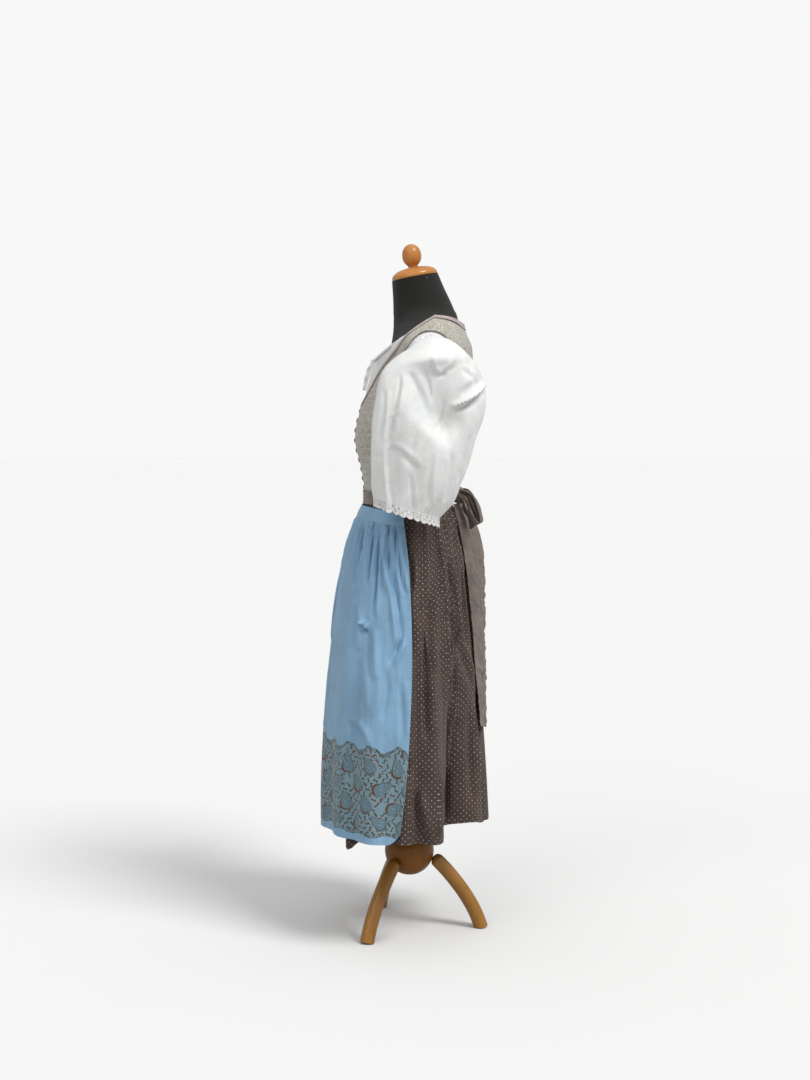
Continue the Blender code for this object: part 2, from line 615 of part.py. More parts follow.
def build_blouse():
    """The gathered front and back, the neck binding and the frill at the front slit."""
    neck = neck_edge(BLOUSE_NECK, False, BLOUSE_SHOULDER)
    middle = middle_rows(BLOUSE_FOOT, neck, BLOUSE_LOW_ROWS, BLOUSE_NECK_ROWS)
    side = side_rows(BLOUSE_FOOT, False, 1.0, 4, ARMHOLE_SIDES // 2)
    front = panel_rows(middle, side, 9, BLOUSE_OUT, blouse_puff)
    add_object("blouse_front", both_halves(front), "white_cotton", BLOUSE_THICK)
    shown = front[:BLOUSE_LOW_ROWS + BINDING_ROWS + 1]
    binding = both_halves(strip_beside(shown, BLOUSE_LOW_ROWS, BINDING_WIDE, BINDING_RISE))
    add_object("blouse_binding", binding, "white_cotton", BLOUSE_THICK)
    build_frill([row[0] for row in front[BLOUSE_LOW_ROWS - FRILL_ROWS:BLOUSE_LOW_ROWS + 1]])
    middle = middle_rows(BLOUSE_FOOT, neck_edge(BLOUSE_BACK_NECK, True, BLOUSE_SHOULDER), 8, 4)
    side = side_rows(BLOUSE_FOOT, True, 1.0, 4, ARMHOLE_SIDES // 2)
    back = panel_rows(middle, side, 6, BLOUSE_OUT)
    add_object("blouse_back", both_halves(back), "white_cotton", BLOUSE_THICK)


def build_frill(slit):
    """A waved frill along the slit, whose points run up the middle of the blouse's front."""
    rows = []
    for i in range(FRILL_STEPS + 1):
        place = i / FRILL_STEPS * (len(slit) - 1) * FRILL_REACH
        k = int(place)
        rise = slit[k + 1] - slit[k]
        normal = Vector((0, -rise.z, rise.y)).normalized()
        base = slit[k].lerp(slit[k + 1], place - k) + normal * (BLOUSE_THICK / 2 + SEAM_GAP * 2)
        wave = math.sin(2 * math.pi * FRILL_WAVES * i / FRILL_STEPS)
        wide = FRILL_WIDE * math.sin(math.pi * (0.15 + 0.7 * i / FRILL_STEPS)) ** 0.5
        row = [base + Vector((FRILL_DEEP * wave * t * t, -wide * t, 0)) for t in (0, 0.5, 1)]
        rows.append(row)
    sheet("blouse_frill", rows, "white_cotton", BLOUSE_THICK)


def sleeve_ring(ring):
    outer = Vector((ring.outer_x, ring.y, ring.outer_z))
    inner = Vector((ring.inner_x, ring.y, ring.inner_z))
    middle, half = (outer + inner) / 2, (outer - inner) / 2
    found = []
    for k in range(SLEEVE_SIDES):
        turn = 2 * math.pi * k / SLEEVE_SIDES
        p = middle + half * math.sin(turn)
        p.y += ring.half_depth * math.cos(turn)
        p.z -= ring.fall * (p.y - ring.y)
        found.append(p * MM)
    return found


def build_sleeve(side_name, flip):
    """A puff sleeve from the armhole to its hem, and the scalloped lace below it."""
    rings = []
    edge = [form_point(*armhole(2 * math.pi * k / ARMHOLE_SIDES), BLOUSE_OUT) for k in range(ARMHOLE_SIDES)]
    centre = sum(edge, Vector()) / ARMHOLE_SIDES
    seam = []
    for k in range(SLEEVE_SIDES):
        place = k * ARMHOLE_SIDES / SLEEVE_SIDES
        i = int(place)
        p = edge[i].lerp(edge[(i + 1) % ARMHOLE_SIDES], place - i)
        seam.append(p + (centre - p).normalized() * (SEAM_GAP * 2 + BLOUSE_THICK / 2))
    rings.append(seam)
    for index, ring in enumerate(SLEEVE):
        points = sleeve_ring(ring)
        middle = sum(points, Vector()) / len(points)
        wave = {0: CAP_GATHER_DEEP * 0.5, 1: CAP_GATHER_DEEP, len(SLEEVE) - 2: HEM_GATHER_DEEP}.get(index, 0)
        for k, p in enumerate(points):
            turn = 2 * math.pi * k / SLEEVE_SIDES
            p += (p - middle).normalized() * wave * math.sin(CAP_GATHERS * turn + 0.5)
            outside = max(math.sin(turn), 0)
            for dent in SLEEVE_DENTS:
                near = bulge(p.y / MM - dent.y, dent.half_deep) * bulge(p.z / MM - dent.z, dent.half_high)
                p.x -= dent.depth * MM * near * outside
        rings.append(points)
    hem = sleeve_ring(SLEEVE[-1])
    lace_top, lace_foot = [], []
    for k in range(2 * LACE_SCALLOPS):
        place = k / (2 * LACE_SCALLOPS) * SLEEVE_SIDES
        i, t = int(place), place - int(place)
        edge = hem[i].lerp(hem[(i + 1) % SLEEVE_SIDES], t)
        long = LACE_POINT if k % 2 else LACE_VALLEY
        lace_top.append(edge - Vector((0, 0, 0.8 * MM)))
        lace_foot.append(edge - Vector((0, 0, long)))
    if flip:
        rings, (lace_top, lace_foot) = mirrored(rings), mirrored([lace_top, lace_foot])
    sheet(f"sleeve_{side_name}", rings, "white_cotton", BLOUSE_THICK, closed=True)
    sheet(f"sleeve_lace_{side_name}", [lace_top, lace_foot], "white_cotton", BLOUSE_THICK, closed=True)


def fold_out(folds, degrees, fraction):
    """Sum of the folds at a place, in mm. Fraction is 0 at the hem and 1 at the waist."""
    total = 0.0
    for fold in folds:
        if fraction < fold.reach:
            away = (degrees - fold.angle + 180) % 360 - 180
            fade = (1 + math.cos(math.pi * fraction / fold.reach)) / 2
            total += fold.out * bulge(away, fold.spread) * fade
    return total


def gather_out(degrees, below, count, deep, long):
    """Small even gathers that start under a seam and die out lower down."""
    strength = min(below / (35 * MM), 1.0) * max(1 - below / long, 0.0)
    return deep * strength * math.sin(math.radians(count * degrees))


def skirt_point(angle, height, out=0.0):
    """A point of the skirt's smooth shape, moved out level from it."""
    s = at_height(SKIRT, height / MM)
    step = 1e-3
    x, y = section_point(s, angle)
    x0, y0 = section_point(s, angle - step)
    x1, y1 = section_point(s, angle + step)
    normal = Vector((y1 - y0, x0 - x1, 0)).normalized()
    return Vector((x * MM, y * MM, height)) + normal * out


def skirt_surface(degrees, height):
    fraction = (height - HEM) / (WAIST_SEAM - HEM)
    out = fold_out(SKIRT_FOLDS, degrees, fraction) * MM
    out += gather_out(degrees, WAIST_SEAM - height, SKIRT_GATHERS, SKIRT_GATHER_DEEP, SKIRT_GATHER_LONG)
    return skirt_point(math.radians(degrees), height, out)


def build_skirt():
    """Front and back skirt panels, seamed at the wearer's sides."""
    step = 360 / SKIRT_SIDES
    for name, start in (("skirt_back", 0), ("skirt_front", -180)):
        rows = []
        for height in SKIRT_ROWS:
            row = []
            for k in range(SKIRT_SIDES // 2 + 1):
                degrees = start + k * step
                p = skirt_surface(degrees, height * MM)
                if height == SKIRT_ROWS[-1]:
                    for dip in HEM_DIPS:
                        p.z -= dip.down * MM * bulge((degrees - dip.angle + 180) % 360 - 180, dip.spread)
                row.append(p)
            row[0] += (row[1] - row[0]).normalized() * SEAM_GAP
            row[-1] += (row[-2] - row[-1]).normalized() * SEAM_GAP
            rows.append(row)
        for p in rows[0]:
            p.z -= SEAM_GAP + 0.4 * MM
        sheet(name, rows, "brown_dotted", SKIRT_THICK)


def apron_point(across, height):
    """A point of the apron's middle surface. Across is -1 at its right edge and 1 at its left edge."""
    edge = at_height(APRON_EDGE, height / MM).angle
    degrees = -90 + across * (90 + edge)
    fraction = (height - HEM) / (APRON_TOP - HEM)
    out = at_height(APRON, height / MM).outside * MM + fold_out(APRON_FOLDS, degrees, fraction) * MM
    below = APRON_TOP - APRON_BAND - APRON_DROP * across**2 - height
    if below > 0:
        out += gather_out(degrees, below, APRON_GATHERS, APRON_GATHER_DEEP, APRON_GATHER_LONG)
    return skirt_point(math.radians(degrees), height, out)


def build_apron():
    places = [-1 + 2 * k / APRON_SIDES for k in range(APRON_SIDES + 1)]
    rows = []
    for down in APRON_ROWS:
        row = []
        for across in places:
            top = APRON_TOP - APRON_DROP * across**2 - APRON_BAND - SEAM_GAP * 2
            corner = max(0.0, (abs(across) - 1 + APRON_CORNER_WIDE) / APRON_CORNER_WIDE)
            foot = HEM + APRON_CORNER_RISE * corner**2
            row.append(apron_point(across, top + (foot - top) * down))
        rows.append(row)
    sheet("apron_panel", rows, "blue_cotton", APRON_THICK)
    band = []
    for down in (0, 1):
        tops = [(a, APRON_TOP - APRON_DROP * a**2 - APRON_BAND * down) for a in places[::2]]
        band.append([apron_point(a, z) for a, z in tops])
    sheet("apron_band", band, "blue_cotton", APRON_THICK)


def build_sash():
    """The stretch round the waist, and the bow tied at the back."""
    turns = [2 * math.pi * i / SASH_SIDES for i in range(SASH_SIDES)]
    rows = [[form_point(a, z, SASH_OUT) for a in turns] for z in (SASH_FOOT, SASH_FOOT + SASH_WIDTH)]
    sheet("sash_band", rows, "taupe_satin", SASH_THICK, closed=True)
    half_x, half_y, half_z = KNOT_HALF
    knot = []
    for i in range(1, 8):
        lean = math.pi * i / 8
        ring = []
        for k in range(12):
            turn = 2 * math.pi * k / 12
            round_it = Vector((
                -half_x * signed_power(math.cos(lean), 0.6),
                half_y * signed_power(math.sin(lean), 0.6) * signed_power(math.cos(turn), 0.7),
                half_z * signed_power(math.sin(lean), 0.6) * signed_power(math.sin(turn), 0.7),
            ))
            ring.append((Vector((0, KNOT_Y, KNOT_Z)) + round_it) * MM)
        knot.append(ring)
    solid_tube("bow_knot", knot, "taupe_satin")
    build_loop("bow_loop_left", False)
    build_loop("bow_loop_right", True)
    build_tail("bow_tail_left", TAIL_LEFT)
    build_tail("bow_tail_right", TAIL_RIGHT)


def build_loop(name, flip, steps=14, columns=4):
    """A drooping ribbon loop from the knot, out and back, with its width pinched at the knot."""
    start = Vector((KNOT_HALF[0] + LOOP_START, KNOT_Y, KNOT_Z))
    rows = []
    for i in range(steps + 1):
        turn = 2 * math.pi * i / steps
        out = (1 - math.cos(turn)) / 2
        middle = start + LOOP_HEAD * 2 * out * (1 - out) + LOOP_TIP * out**2
        ahead = (LOOP_HEAD * (1 - 2 * out) + LOOP_TIP * out).normalized()
        thick = (Vector((0, 1, 0)) - ahead * ahead.y).normalized()
        spread = min(out / 0.45, 1.0)
        thick.rotate(Quaternion(ahead, -math.radians(LOOP_TWIST) * spread))
        wide = ahead.cross(thick)
        breadth = LOOP_PINCH + (LOOP_WIDE - LOOP_PINCH) * math.sin(spread * math.pi / 2)
        away = LOOP_THICK / 2 * math.sin(turn) * abs(math.sin(turn / 2)) ** 0.6
        away += 2.2 * (1 - spread) * (1 if i < steps / 2 else -1)
        row = []
        for k in range(columns + 1):
            side = k / columns - 0.5
            hollow = 1.5 * (1 - spread) * (1 if k % 2 else -1)
            row.append((middle + thick * (away + hollow) + wide * breadth * side) * MM)
        rows.append(row)
    sheet(name, mirrored(rows) if flip else rows, "taupe_satin", RIBBON_THICK)


def build_tail(name, edges):
    """A hanging ribbon end between its two edges, crinkled lower down and cut on a slant."""
    table = list(reversed(edges))
    top, foot = table[-1].height, table[0].height
    rows = []
    for i in range(TAIL_ROWS + 1):
        down = (i / TAIL_ROWS) ** 1.15
        row = []
        for k in range(TAIL_COLUMNS + 1):
            t = k / TAIL_COLUMNS
            height = top + (foot - top + TAIL_SLANT * t) * down
            edge = at_height(table, height)
            inner = Vector((edge.inner_x, edge.inner_y, height))
            outer = Vector((edge.outer_x, edge.outer_y, height))
            p = inner.lerp(outer, t)
            p.y += TAIL_CRINKLE * down * math.sin(2.4 * i + 1.3 * k)
            row.append(p * MM)
        rows.append(row)
    sheet(name, rows, "taupe_satin", RIBBON_THICK)


clear_scene()
build_stand()
build_blouse()
build_sleeve("left", False)
build_sleeve("right", True)
build_bodice()
build_buttons()
build_skirt()
build_apron()
build_sash()
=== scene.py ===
"""Dirndl outfit on a limbless dress form: blouse, bodice, skirt, apron and sash on their wooden stand.

Laid out as an add-on and run as a script. The sizes that a user would change are in the property groups;
the cut of each cloth piece is in the short tables below, in millimetres. The wearer faces -Y, the wearer's
left is +X, and the floor is z = 0.
"""
import functools
import math
from collections import namedtuple

import bmesh
import bpy
import numpy as np
from mathutils import Matrix, Vector


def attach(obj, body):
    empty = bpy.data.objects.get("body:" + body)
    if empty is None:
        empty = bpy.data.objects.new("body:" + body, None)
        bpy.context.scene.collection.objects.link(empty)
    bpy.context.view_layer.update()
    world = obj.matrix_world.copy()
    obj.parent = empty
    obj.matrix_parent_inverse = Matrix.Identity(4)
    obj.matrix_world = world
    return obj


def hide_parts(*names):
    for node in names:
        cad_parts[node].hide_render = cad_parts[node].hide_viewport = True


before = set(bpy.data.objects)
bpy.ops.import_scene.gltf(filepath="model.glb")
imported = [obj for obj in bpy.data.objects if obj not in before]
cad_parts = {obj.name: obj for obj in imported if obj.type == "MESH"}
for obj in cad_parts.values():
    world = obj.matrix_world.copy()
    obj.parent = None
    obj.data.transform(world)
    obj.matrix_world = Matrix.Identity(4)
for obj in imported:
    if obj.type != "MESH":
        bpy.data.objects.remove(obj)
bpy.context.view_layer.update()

bl_info = {
    "name": "Dirndl on a dress form",
    "version": (1, 0, 0),
    "blender": (4, 5, 0),
    "location": "3D View > Sidebar > Dirndl",
    "description": "Builds a dirndl outfit and the form it stands on",
    "category": "Add Mesh",
}

MM = 0.001
BODY = "root"
UV_NAME = "cut"  # the cloth's own coordinates, in metres across and along each piece

# ---------------------------------------------------------------- driving dimensions
STAND_Y = 10
TORSO_FOOT = 760
HEM = 250
WAIST_SEAM = 977.5
APRON_TOP, APRON_BAND, APRON_DROP = 969.5, 28, 13
SASH_FOOT, SASH_WIDTH = 971.2, 31
BLOUSE_OUT, BLOUSE_THICK = 3.4, 0.9
BODICE_OUT, BODICE_THICK = 8.6, 1.6
TRIM_OUT = 11.2
SASH_OUT, SASH_THICK = 12.4, 1.4
SKIRT_THICK, APRON_THICK, RIBBON_THICK = 1.4, 1.2, 1.0
SHEER_THICK = 0.7  # of the lace and the frill
SEAM_GAP, TIGHT_SEAM = 0.3, 0.06
SKIRT_TOP_GAP = 0.7  # between the skirt's top edge and the bodice
MERGE_WITHIN = 0.02  # points of a piece this near each other are one
CLOTH_EDGE, WOOD_EDGE = 55, 40  # the angle in degrees past which an edge is shaded as a fold

# ---------------------------------------------------------------- how fine each piece's mesh is
FORM_TURNS, FORM_LOW_RINGS, FORM_HIGH_RINGS, FORM_FOOT_RINGS, FORM_TOP_RINGS = 96, 36, 32, 7, 7
FINE = 6  # rows of mesh for each row that a blouse or bodice panel's table counts
SLEEVE_TURNS, SLEEVE_ROWS = 216, 114
LACE_COLUMNS, LACE_ROWS = 20, 26  # its columns are counted to a scallop
EYELET_REACH = 2  # faces from an eyelet's middle to its rim
LEG_TOP_STEPS, LEG_STEPS = 8, 21  # along a leg's rounded top end and along the rest of it
PROFILE_STEP, PROFILE_LEAST, PROFILE_MOST = 2.5, 6, 40  # a turned piece's steps, in mm and by number
FRILL_COLUMNS, FRILL_ROWS = 60, 8
SKIRT_COLUMNS, SKIRT_ROWS = 260, 70
APRON_COLUMNS, APRON_ROWS = 320, 104
BAND_COLUMNS, BAND_ROWS = 260, 14
SASH_COLUMNS, SASH_ROWS = 240, 18
KNOT_RINGS, KNOT_TURNS = 40, 64
LOOP_STEPS, LOOP_COLUMNS = 130, 50
TAIL_ROWS, TAIL_COLUMNS = 160, 36

# ---------------------------------------------------------------- the form, in mm
Section = namedtuple("Section", "height half_width front mid back tilt shape")
FORM = [
    Section(760, 150, -88, 12, 104, 0, 2.3),
    Section(800, 157, -92, 12, 110, 0, 2.3),
    Section(860, 156, -93, 12, 113, 0, 2.2),
    Section(920, 134, -88, 12, 104, 0, 2.1),
    Section(985, 112, -81, 12, 95, 0, 2.1),
    Section(1040, 118, -85, 16, 105, 0, 2.1),
    Section(1100, 132, -88, 24, 121, 0, 2.2),
    Section(1150, 142, -84, 32, 130, 0, 2.2),
    Section(1200, 150, -77, 40, 137, 0, 2.1),
    Section(1250, 161, -63, 47, 142, 0, 2.0),
    Section(1290, 172, -48, 52, 143, 0, 2.0),
    Section(1320, 178, -36, 56, 140, 0, 2.0),
    Section(1336, 173, -32, 59, 133, 0, 1.9),
    Section(1350, 158, -30, 62, 128, 0, 1.7),
    Section(1366, 134, -28, 64, 122, 1, 1.6),
    Section(1380, 105, -27, 62, 120, 2, 1.6),
    Section(1391, 80, -26, 55, 116, 3, 1.8),
    Section(1399, 66, -26, 48, 110, 5, 2.0),
    Section(1415, 57, -26, 41, 102, 6.5, 2.0),
    Section(1445, 53, -27, 32, 87, 8.5, 2.0),
    Section(1476, 51, -29, 22, 73, 10.6, 2.0),
]
NECK_TOP = FORM[-1]
SHOULDER_FOOT, SHOULDER_STEP = 1300, 4  # where the form's rings begin to lie closer, and the step there
TORSO_EASE, TORSO_EASE_TOP, TORSO_EASE_FADE = 3, 1405, 50
BUST_HEIGHT, BUST_OUT, BUST_FLAT, BUST_SIDE = 1128, 18, 58, 52
BUST_RISE, BUST_FALL, BUST_DIP, BUST_DIP_WIDE = 75, 60, 0.12, 30

# ---------------------------------------------------------------- the skirt and the apron, in mm
SkirtSection = namedtuple("SkirtSection", "height half_width front mid back shape")
SKIRT = [
    SkirtSection(250, 238, -168, 8, 180, 2.0),
    SkirtSection(350, 231, -168, 8, 175, 2.0),
    SkirtSection(500, 218, -163, 8, 166, 2.0),
    SkirtSection(650, 201, -152, 8, 155, 2.0),
    SkirtSection(800, 177, -133, 10, 140, 2.0),
    SkirtSection(880, 158, -117, 11, 128, 2.05),
    SkirtSection(940, 138, -100, 12, 116, 2.1),
    SkirtSection(968, 125, -91, 12, 105, 2.1),
    SkirtSection(977.5, 122, -89, 12, 103, 2.1),
]
# Folds: the angle round the stand (0 is the wearer's left, 90 the back), how far the hem stands out (+)
# or in (-) there in mm, the half-width in degrees and how far up the fold reaches.
Fold = namedtuple("Fold", "angle out spread reach")
SKIRT_FOLDS = [
    Fold(-3, 14, 9, 0.70), Fold(7, -18, 6, 0.55), Fold(16, 22, 9, 0.80), Fold(43, -72, 11, 0.62),
    Fold(66, 8, 9, 0.85), Fold(78, -16, 6, 0.80), Fold(90, 9, 8, 0.90), Fold(103, -20, 6, 0.75),
    Fold(117, 8, 9, 0.80), Fold(138, -64, 11, 0.60), Fold(165, 20, 9, 0.80), Fold(174, -16, 6, 0.55),
    Fold(183, 14, 9, 0.70), Fold(-14, -24, 6, 0.60), Fold(-26, 8, 7, 0.70), Fold(-36, -30, 6, 0.60),
    Fold(-47, 8, 7, 0.70), Fold(-60, -26, 7, 0.65), Fold(-74, 8, 8, 0.70), Fold(-90, -22, 7, 0.70),
    Fold(-106, 8, 8, 0.70), Fold(-120, -26, 7, 0.65), Fold(-134, 8, 7, 0.70), Fold(-146, -30, 6, 0.60),
    Fold(-156, 8, 7, 0.70), Fold(-167, -24, 6, 0.60),
]
HemDip = namedtuple("HemDip", "angle down spread")
HEM_DIPS = [HemDip(-47, 30, 6), HemDip(-134, 24, 6), HemDip(57, -20, 16)]
HEM_DIP_TOP, HEM_DIP_FADE = 480, 230
ApronSection = namedtuple("ApronSection", "height outside")
APRON = [
    ApronSection(250, 21), ApronSection(400, 20), ApronSection(560, 17.5), ApronSection(700, 15),
    ApronSection(820, 12.5), ApronSection(900, 12), ApronSection(944, 9.5), ApronSection(970, 5.5),
]
APRON_FOLDS = [
    Fold(-12, -5, 5, 0.9), Fold(-24, 8, 7, 1.0), Fold(-37, -6, 5, 1.0), Fold(-50, 6, 6, 1.0),
    Fold(-63, -6, 5, 1.0), Fold(-76, 5, 6, 1.0), Fold(-90, -5, 6, 1.0), Fold(-104, 5, 6, 1.0),
    Fold(-117, -6, 5, 1.0), Fold(-130, 6, 6, 1.0), Fold(-143, -6, 5, 1.0), Fold(-156, 8, 7, 1.0),
    Fold(-168, -5, 5, 0.9),
]
ApronEdge = namedtuple("ApronEdge", "height angle")
APRON_EDGE = [
    ApronEdge(250, -6), ApronEdge(400, -1), ApronEdge(650, 2.5), ApronEdge(850, -1), ApronEdge(970, -8),
]
APRON_CORNER_RISE, APRON_CORNER_WIDE = 24, 0.10

# ---------------------------------------------------------------- sleeves and necklines, in mm
Ring = namedtuple("Ring", "outer_x outer_z inner_x inner_z y half_depth fall")
SLEEVE = [
    Ring(179, 1341, 166, 1187, 53, 65, 0),
    Ring(212, 1337, 169, 1178, 53, 92, 0),
    Ring(247, 1313, 169, 1168, 56, 111, 0),
    Ring(270, 1270, 168, 1152, 55, 117, 0),
    Ring(280, 1212, 167, 1128, 48.5, 118, 0),
    Ring(281, 1152, 166, 1098, 41, 111, 0),
    Ring(276, 1094, 165, 1062, 34, 105, 0),
    Ring(267, 1044, 164, 1028, 25, 96, 0.06),
    Ring(257, 1008, 163, 1000, 16, 87, 0.18),
    Ring(248, 975, 162, 975, 3, 70, 0.32),
]
ARMHOLE_Y, ARMHOLE_Z, ARMHOLE_DEEP, ARMHOLE_HIGH = 55, 1268, 59, 72
ARMHOLE_ARCH = 1.4  # the power of its upper half: 1 is round, and more is nearer a pointed arch
BODICE_ARMHOLE_EASE = 1.085
Edge = namedtuple("Edge", "across height")
FRONT_NECK = [
    Edge(0, 1188), Edge(30, 1202), Edge(52, 1229), Edge(64, 1252), Edge(78, 1270), Edge(96, 1286),
    Edge(113, 1301), Edge(127, 1315), Edge(136, 1329), Edge(138, 1344), Edge(134, 1357), Edge(126, 1368),
]
BACK_NECK = [Edge(0, 1367), Edge(27, 1368), Edge(55, 1371), Edge(82, 1375)]
BODICE_SHOULDER = 1377
BLOUSE_NECK = [
    Edge(0, 1292), Edge(20, 1294), Edge(42, 1300), Edge(64, 1309), Edge(86, 1319), Edge(106, 1330),
    Edge(122, 1341), Edge(134, 1350),
]
BLOUSE_BACK_NECK = [Edge(0, 1298), Edge(35, 1300), Edge(72, 1317), Edge(112, 1345)]
BLOUSE_SHOULDER, BLOUSE_FOOT = 1362, 1085
PUFF_CLEAR = 12
Puff = namedtuple("Puff", "height off")
PUFF_OPEN, NECK_PITCH, NECK_SEED = 6, 7.5, 31  # the puff at which its gathers are whole, and their pitch
BLOUSE_PUFF = [Puff(1200, 0), Puff(1210, 5), Puff(1224, 9), Puff(1246, 12), Puff(1272, 15), Puff(1300, 17)]
# A half panel: its neckline, if it is at the back, its foot and shoulder, how far it stands out from the
# form, its armhole's ease, its rows below and along the neckline, up the side seam and round the
# armhole, and its columns.
HalfPanel = namedtuple("HalfPanel", "neck back foot shoulder out ease low along seam arc columns")
BLOUSE_FRONT = HalfPanel(BLOUSE_NECK, False, BLOUSE_FOOT, BLOUSE_SHOULDER, BLOUSE_OUT, 1.0, 6, 6, 4, 8, 90)
BLOUSE_BACK = HalfPanel(BLOUSE_BACK_NECK, True, BLOUSE_FOOT, BLOUSE_SHOULDER, BLOUSE_OUT, 1.0, 8, 4, 4, 8, 44)
BODICE_FRONT = HalfPanel(
    FRONT_NECK, False, WAIST_SEAM, BODICE_SHOULDER, BODICE_OUT, BODICE_ARMHOLE_EASE, 8, 9, 8, 9, 60,
)
BODICE_BACK = HalfPanel(
    BACK_NECK, True, WAIST_SEAM, BODICE_SHOULDER, BODICE_OUT, BODICE_ARMHOLE_EASE, 11, 4, 8, 7, 50,
)
PIPING_FRONT, PIPING_BACK = 7, 13
BINDING_WIDE, BINDING_RISE, BINDING_ROWS = 6, 2.7, 3
FRILL_WIDE, FRILL_DEEP, FRILL_WAVES = 10, 3.5, 3
FRILL_RUN = 2  # how many of the panel's rows it runs down from the neckline
BUTTONS, BUTTON_TOP, BUTTON_STEP, BUTTON_OFF, BUTTON_HIGH = 9, 1176, 21, 1.1, 2.6
LACE_SCALLOPS, LACE_VALLEY, LACE_POINT, LACE_PITCH = 28, 14, 21, 13.0
EYELET_DOWN, EYELET_RADIUS = (5.0, 11.0), 1.65  # two staggered rows of eyelets
ARM_SIDE = 163  # how near the body's middle the sleeve's cloth may come
SLEEVE_RADIUS = 62  # of a circle as long as its girth, along which its gathers are counted
SLEEVE_CAP_PITCH, SLEEVE_HEM_PITCH = 11, 9
SLEEVE_SEEDS, BODICE_SEEDS = {"left": 5, "right": 47}, {"left": 71, "right": 83, "back": 97}

# ---------------------------------------------------------------- the bow, in mm
KNOT_Y, KNOT_Z, KNOT_HALF = 120.8, 990, (17, 13.8, 17.6)
LOOP_START, LOOP_THICK, LOOP_WIDE, LOOP_PINCH, LOOP_TWIST = 8, 30, 46, 28, 35
LOOP_STRIP = 0.30  # how far its front half is gathered to one side, as a share of its width
LOOP_HEAD, LOOP_TIP = (32, 12, -8), (50, 33, -66)  # its middle line heads for one and ends at the other
Tail = namedtuple("Tail", "height inner_x inner_y outer_x outer_y")
TAIL_LEFT = [
    Tail(972, 3, 131, 23, 108.6), Tail(930, 6, 158, 40, 119), Tail(890, 8, 171, 52, 127.5),
    Tail(843, 9, 178, 62, 135), Tail(724, 10, 180, 70, 148), Tail(600, 11, 181, 74, 158),
    Tail(463, 12, 183, 77, 169),
]
TAIL_RIGHT = [
    Tail(972, -4, 129, -16, 124), Tail(930, -22, 137, -46, 128), Tail(890, -30, 141, -66, 128),
    Tail(843, -36, 144, -82, 131), Tail(724, -42, 152, -94, 139), Tail(600, -45, 163, -99, 150),
    Tail(478, -47, 173, -102, 163),
]
TAIL_SLANT = 14
TAIL_PINCH = 116  # how far down its inner edge the crease across each tail starts
LOOP_SEEDS, TAIL_SEEDS = {"left": 3, "right": 14}, {"left": 23, "right": 34}
SASH_PLEAT_DEEP, SASH_PLEAT_PITCH, SASH_SEED = 0.7, 8.5, 61

# ---------------------------------------------------------------- the stand, in mm
CAP_PROFILE = [(51, 0), (51.5, 2), (49.5, 8), (44, 13.5), (33, 18.5), (17, 21.5)]
CAP_HIGH = 22
FINIAL_PROFILE = [
    (11, 0), (11.3, 3), (16.5, 8.5), (20.5, 16.5), (21.3, 25.5), (20, 34.5), (16, 42.5), (9, 48.5),
]
FINIAL_HIGH, FINIAL_LEAN, FINIAL_SEAT = 51, 6.5, 1.2
HUB_RADIUS, HUB_HEIGHT, HUB_ARC = 56, 176, np.radians(np.linspace(-81, 81, 19))
POLE_RADIUS, LEG_RADIUS = 13, 16
CAP_SIDES, FINIAL_SIDES, HUB_SIDES, POLE_SIDES, LEG_SIDES, PIN_SIDES = 72, 56, 64, 48, 40, 16
PIN_ANGLE, PIN_HEIGHT, PIN_PROFILE, PIN_HIGH = 26, 1467, [(1.0, 0), (1.6, 0.8), (1.5, 1.8)], 2.3
LEG_ANGLES = {"leg_back": 85, "leg_left": -35, "leg_right": 205}
LEG_ROUND = 15  # the length over which a leg's top end is rounded
LEG_LINE = [(55, 161.5), (60, 157.5), (84, 133), (112, 99), (134, 67), (152, 34), (165, 0)]

# ---------------------------------------------------------------- the buttons, in mm
BUTTON_SIDES, BEADS, BEAD_OUT, BEAD_UP, BEAD_RADIUS = 40, 18, 0.93, 0.9, 0.62
BUTTON_STEPS = [  # its radius as a share of the widest, and its height, ring by ring
    (1.0, 0.6), (0.86, 1.0), (0.80, 0.9), (0.62, 1.8), (0.36, 2.35), (0.12, BUTTON_HIGH),
]

# ---------------------------------------------------------------- colours and prints
COTTON, JERSEY = (0.80, 0.802, 0.79), (0.0125, 0.0140, 0.0115)
BROCADE, BROCADE_FIGURE, BROCADE_LIGHT = (0.50, 0.48, 0.425), (0.20, 0.19, 0.14), (0.80, 0.78, 0.74)
SKIRT_BROWN, SKIRT_DOT = (0.066, 0.045, 0.038), (0.48, 0.41, 0.35)
DOT_STEP, DOT_RADIUS = 13.4, 1.05
BROCADE_WIDE, BROCADE_HIGH, LEAF_WIDE, LEAF_HIGH = 21.0, 17.0, 8.6, 7.3  # the cells of its figures
APRON_BLUE = (0.220, 0.385, 0.55)
PRINT_GROUND, PRINT_FILL, PRINT_BEIGE = (0.168, 0.275, 0.335), (0.148, 0.250, 0.312), (0.29, 0.31, 0.275)
PRINT_OLIVE, PRINT_BROWN = (0.060, 0.055, 0.034), (0.13, 0.047, 0.020)
PAISLEY_WIDE, PAISLEY_HIGH, BORDER_TOP, BORDER_FOOT = 66.0, 41.0, 205.0, 18.0
STROKE_WIDE, STROKE_HIGH, TICK_WIDE, TICK_HIGH = 16.0, 10.5, 6.4, 5.6  # the cells between the paisleys
TAFFETA, PIPING = (0.160, 0.129, 0.106), (0.40, 0.345, 0.33)
HONEY_PALE, HONEY_DEEP = (0.60, 0.25, 0.055), (0.42, 0.145, 0.022)
LEG_PALE, LEG_DEEP = (0.40, 0.19, 0.035), (0.24, 0.10, 0.014)
WALNUT_PALE, WALNUT_DEEP = (0.28, 0.100, 0.005), (0.16, 0.054, 0.003)
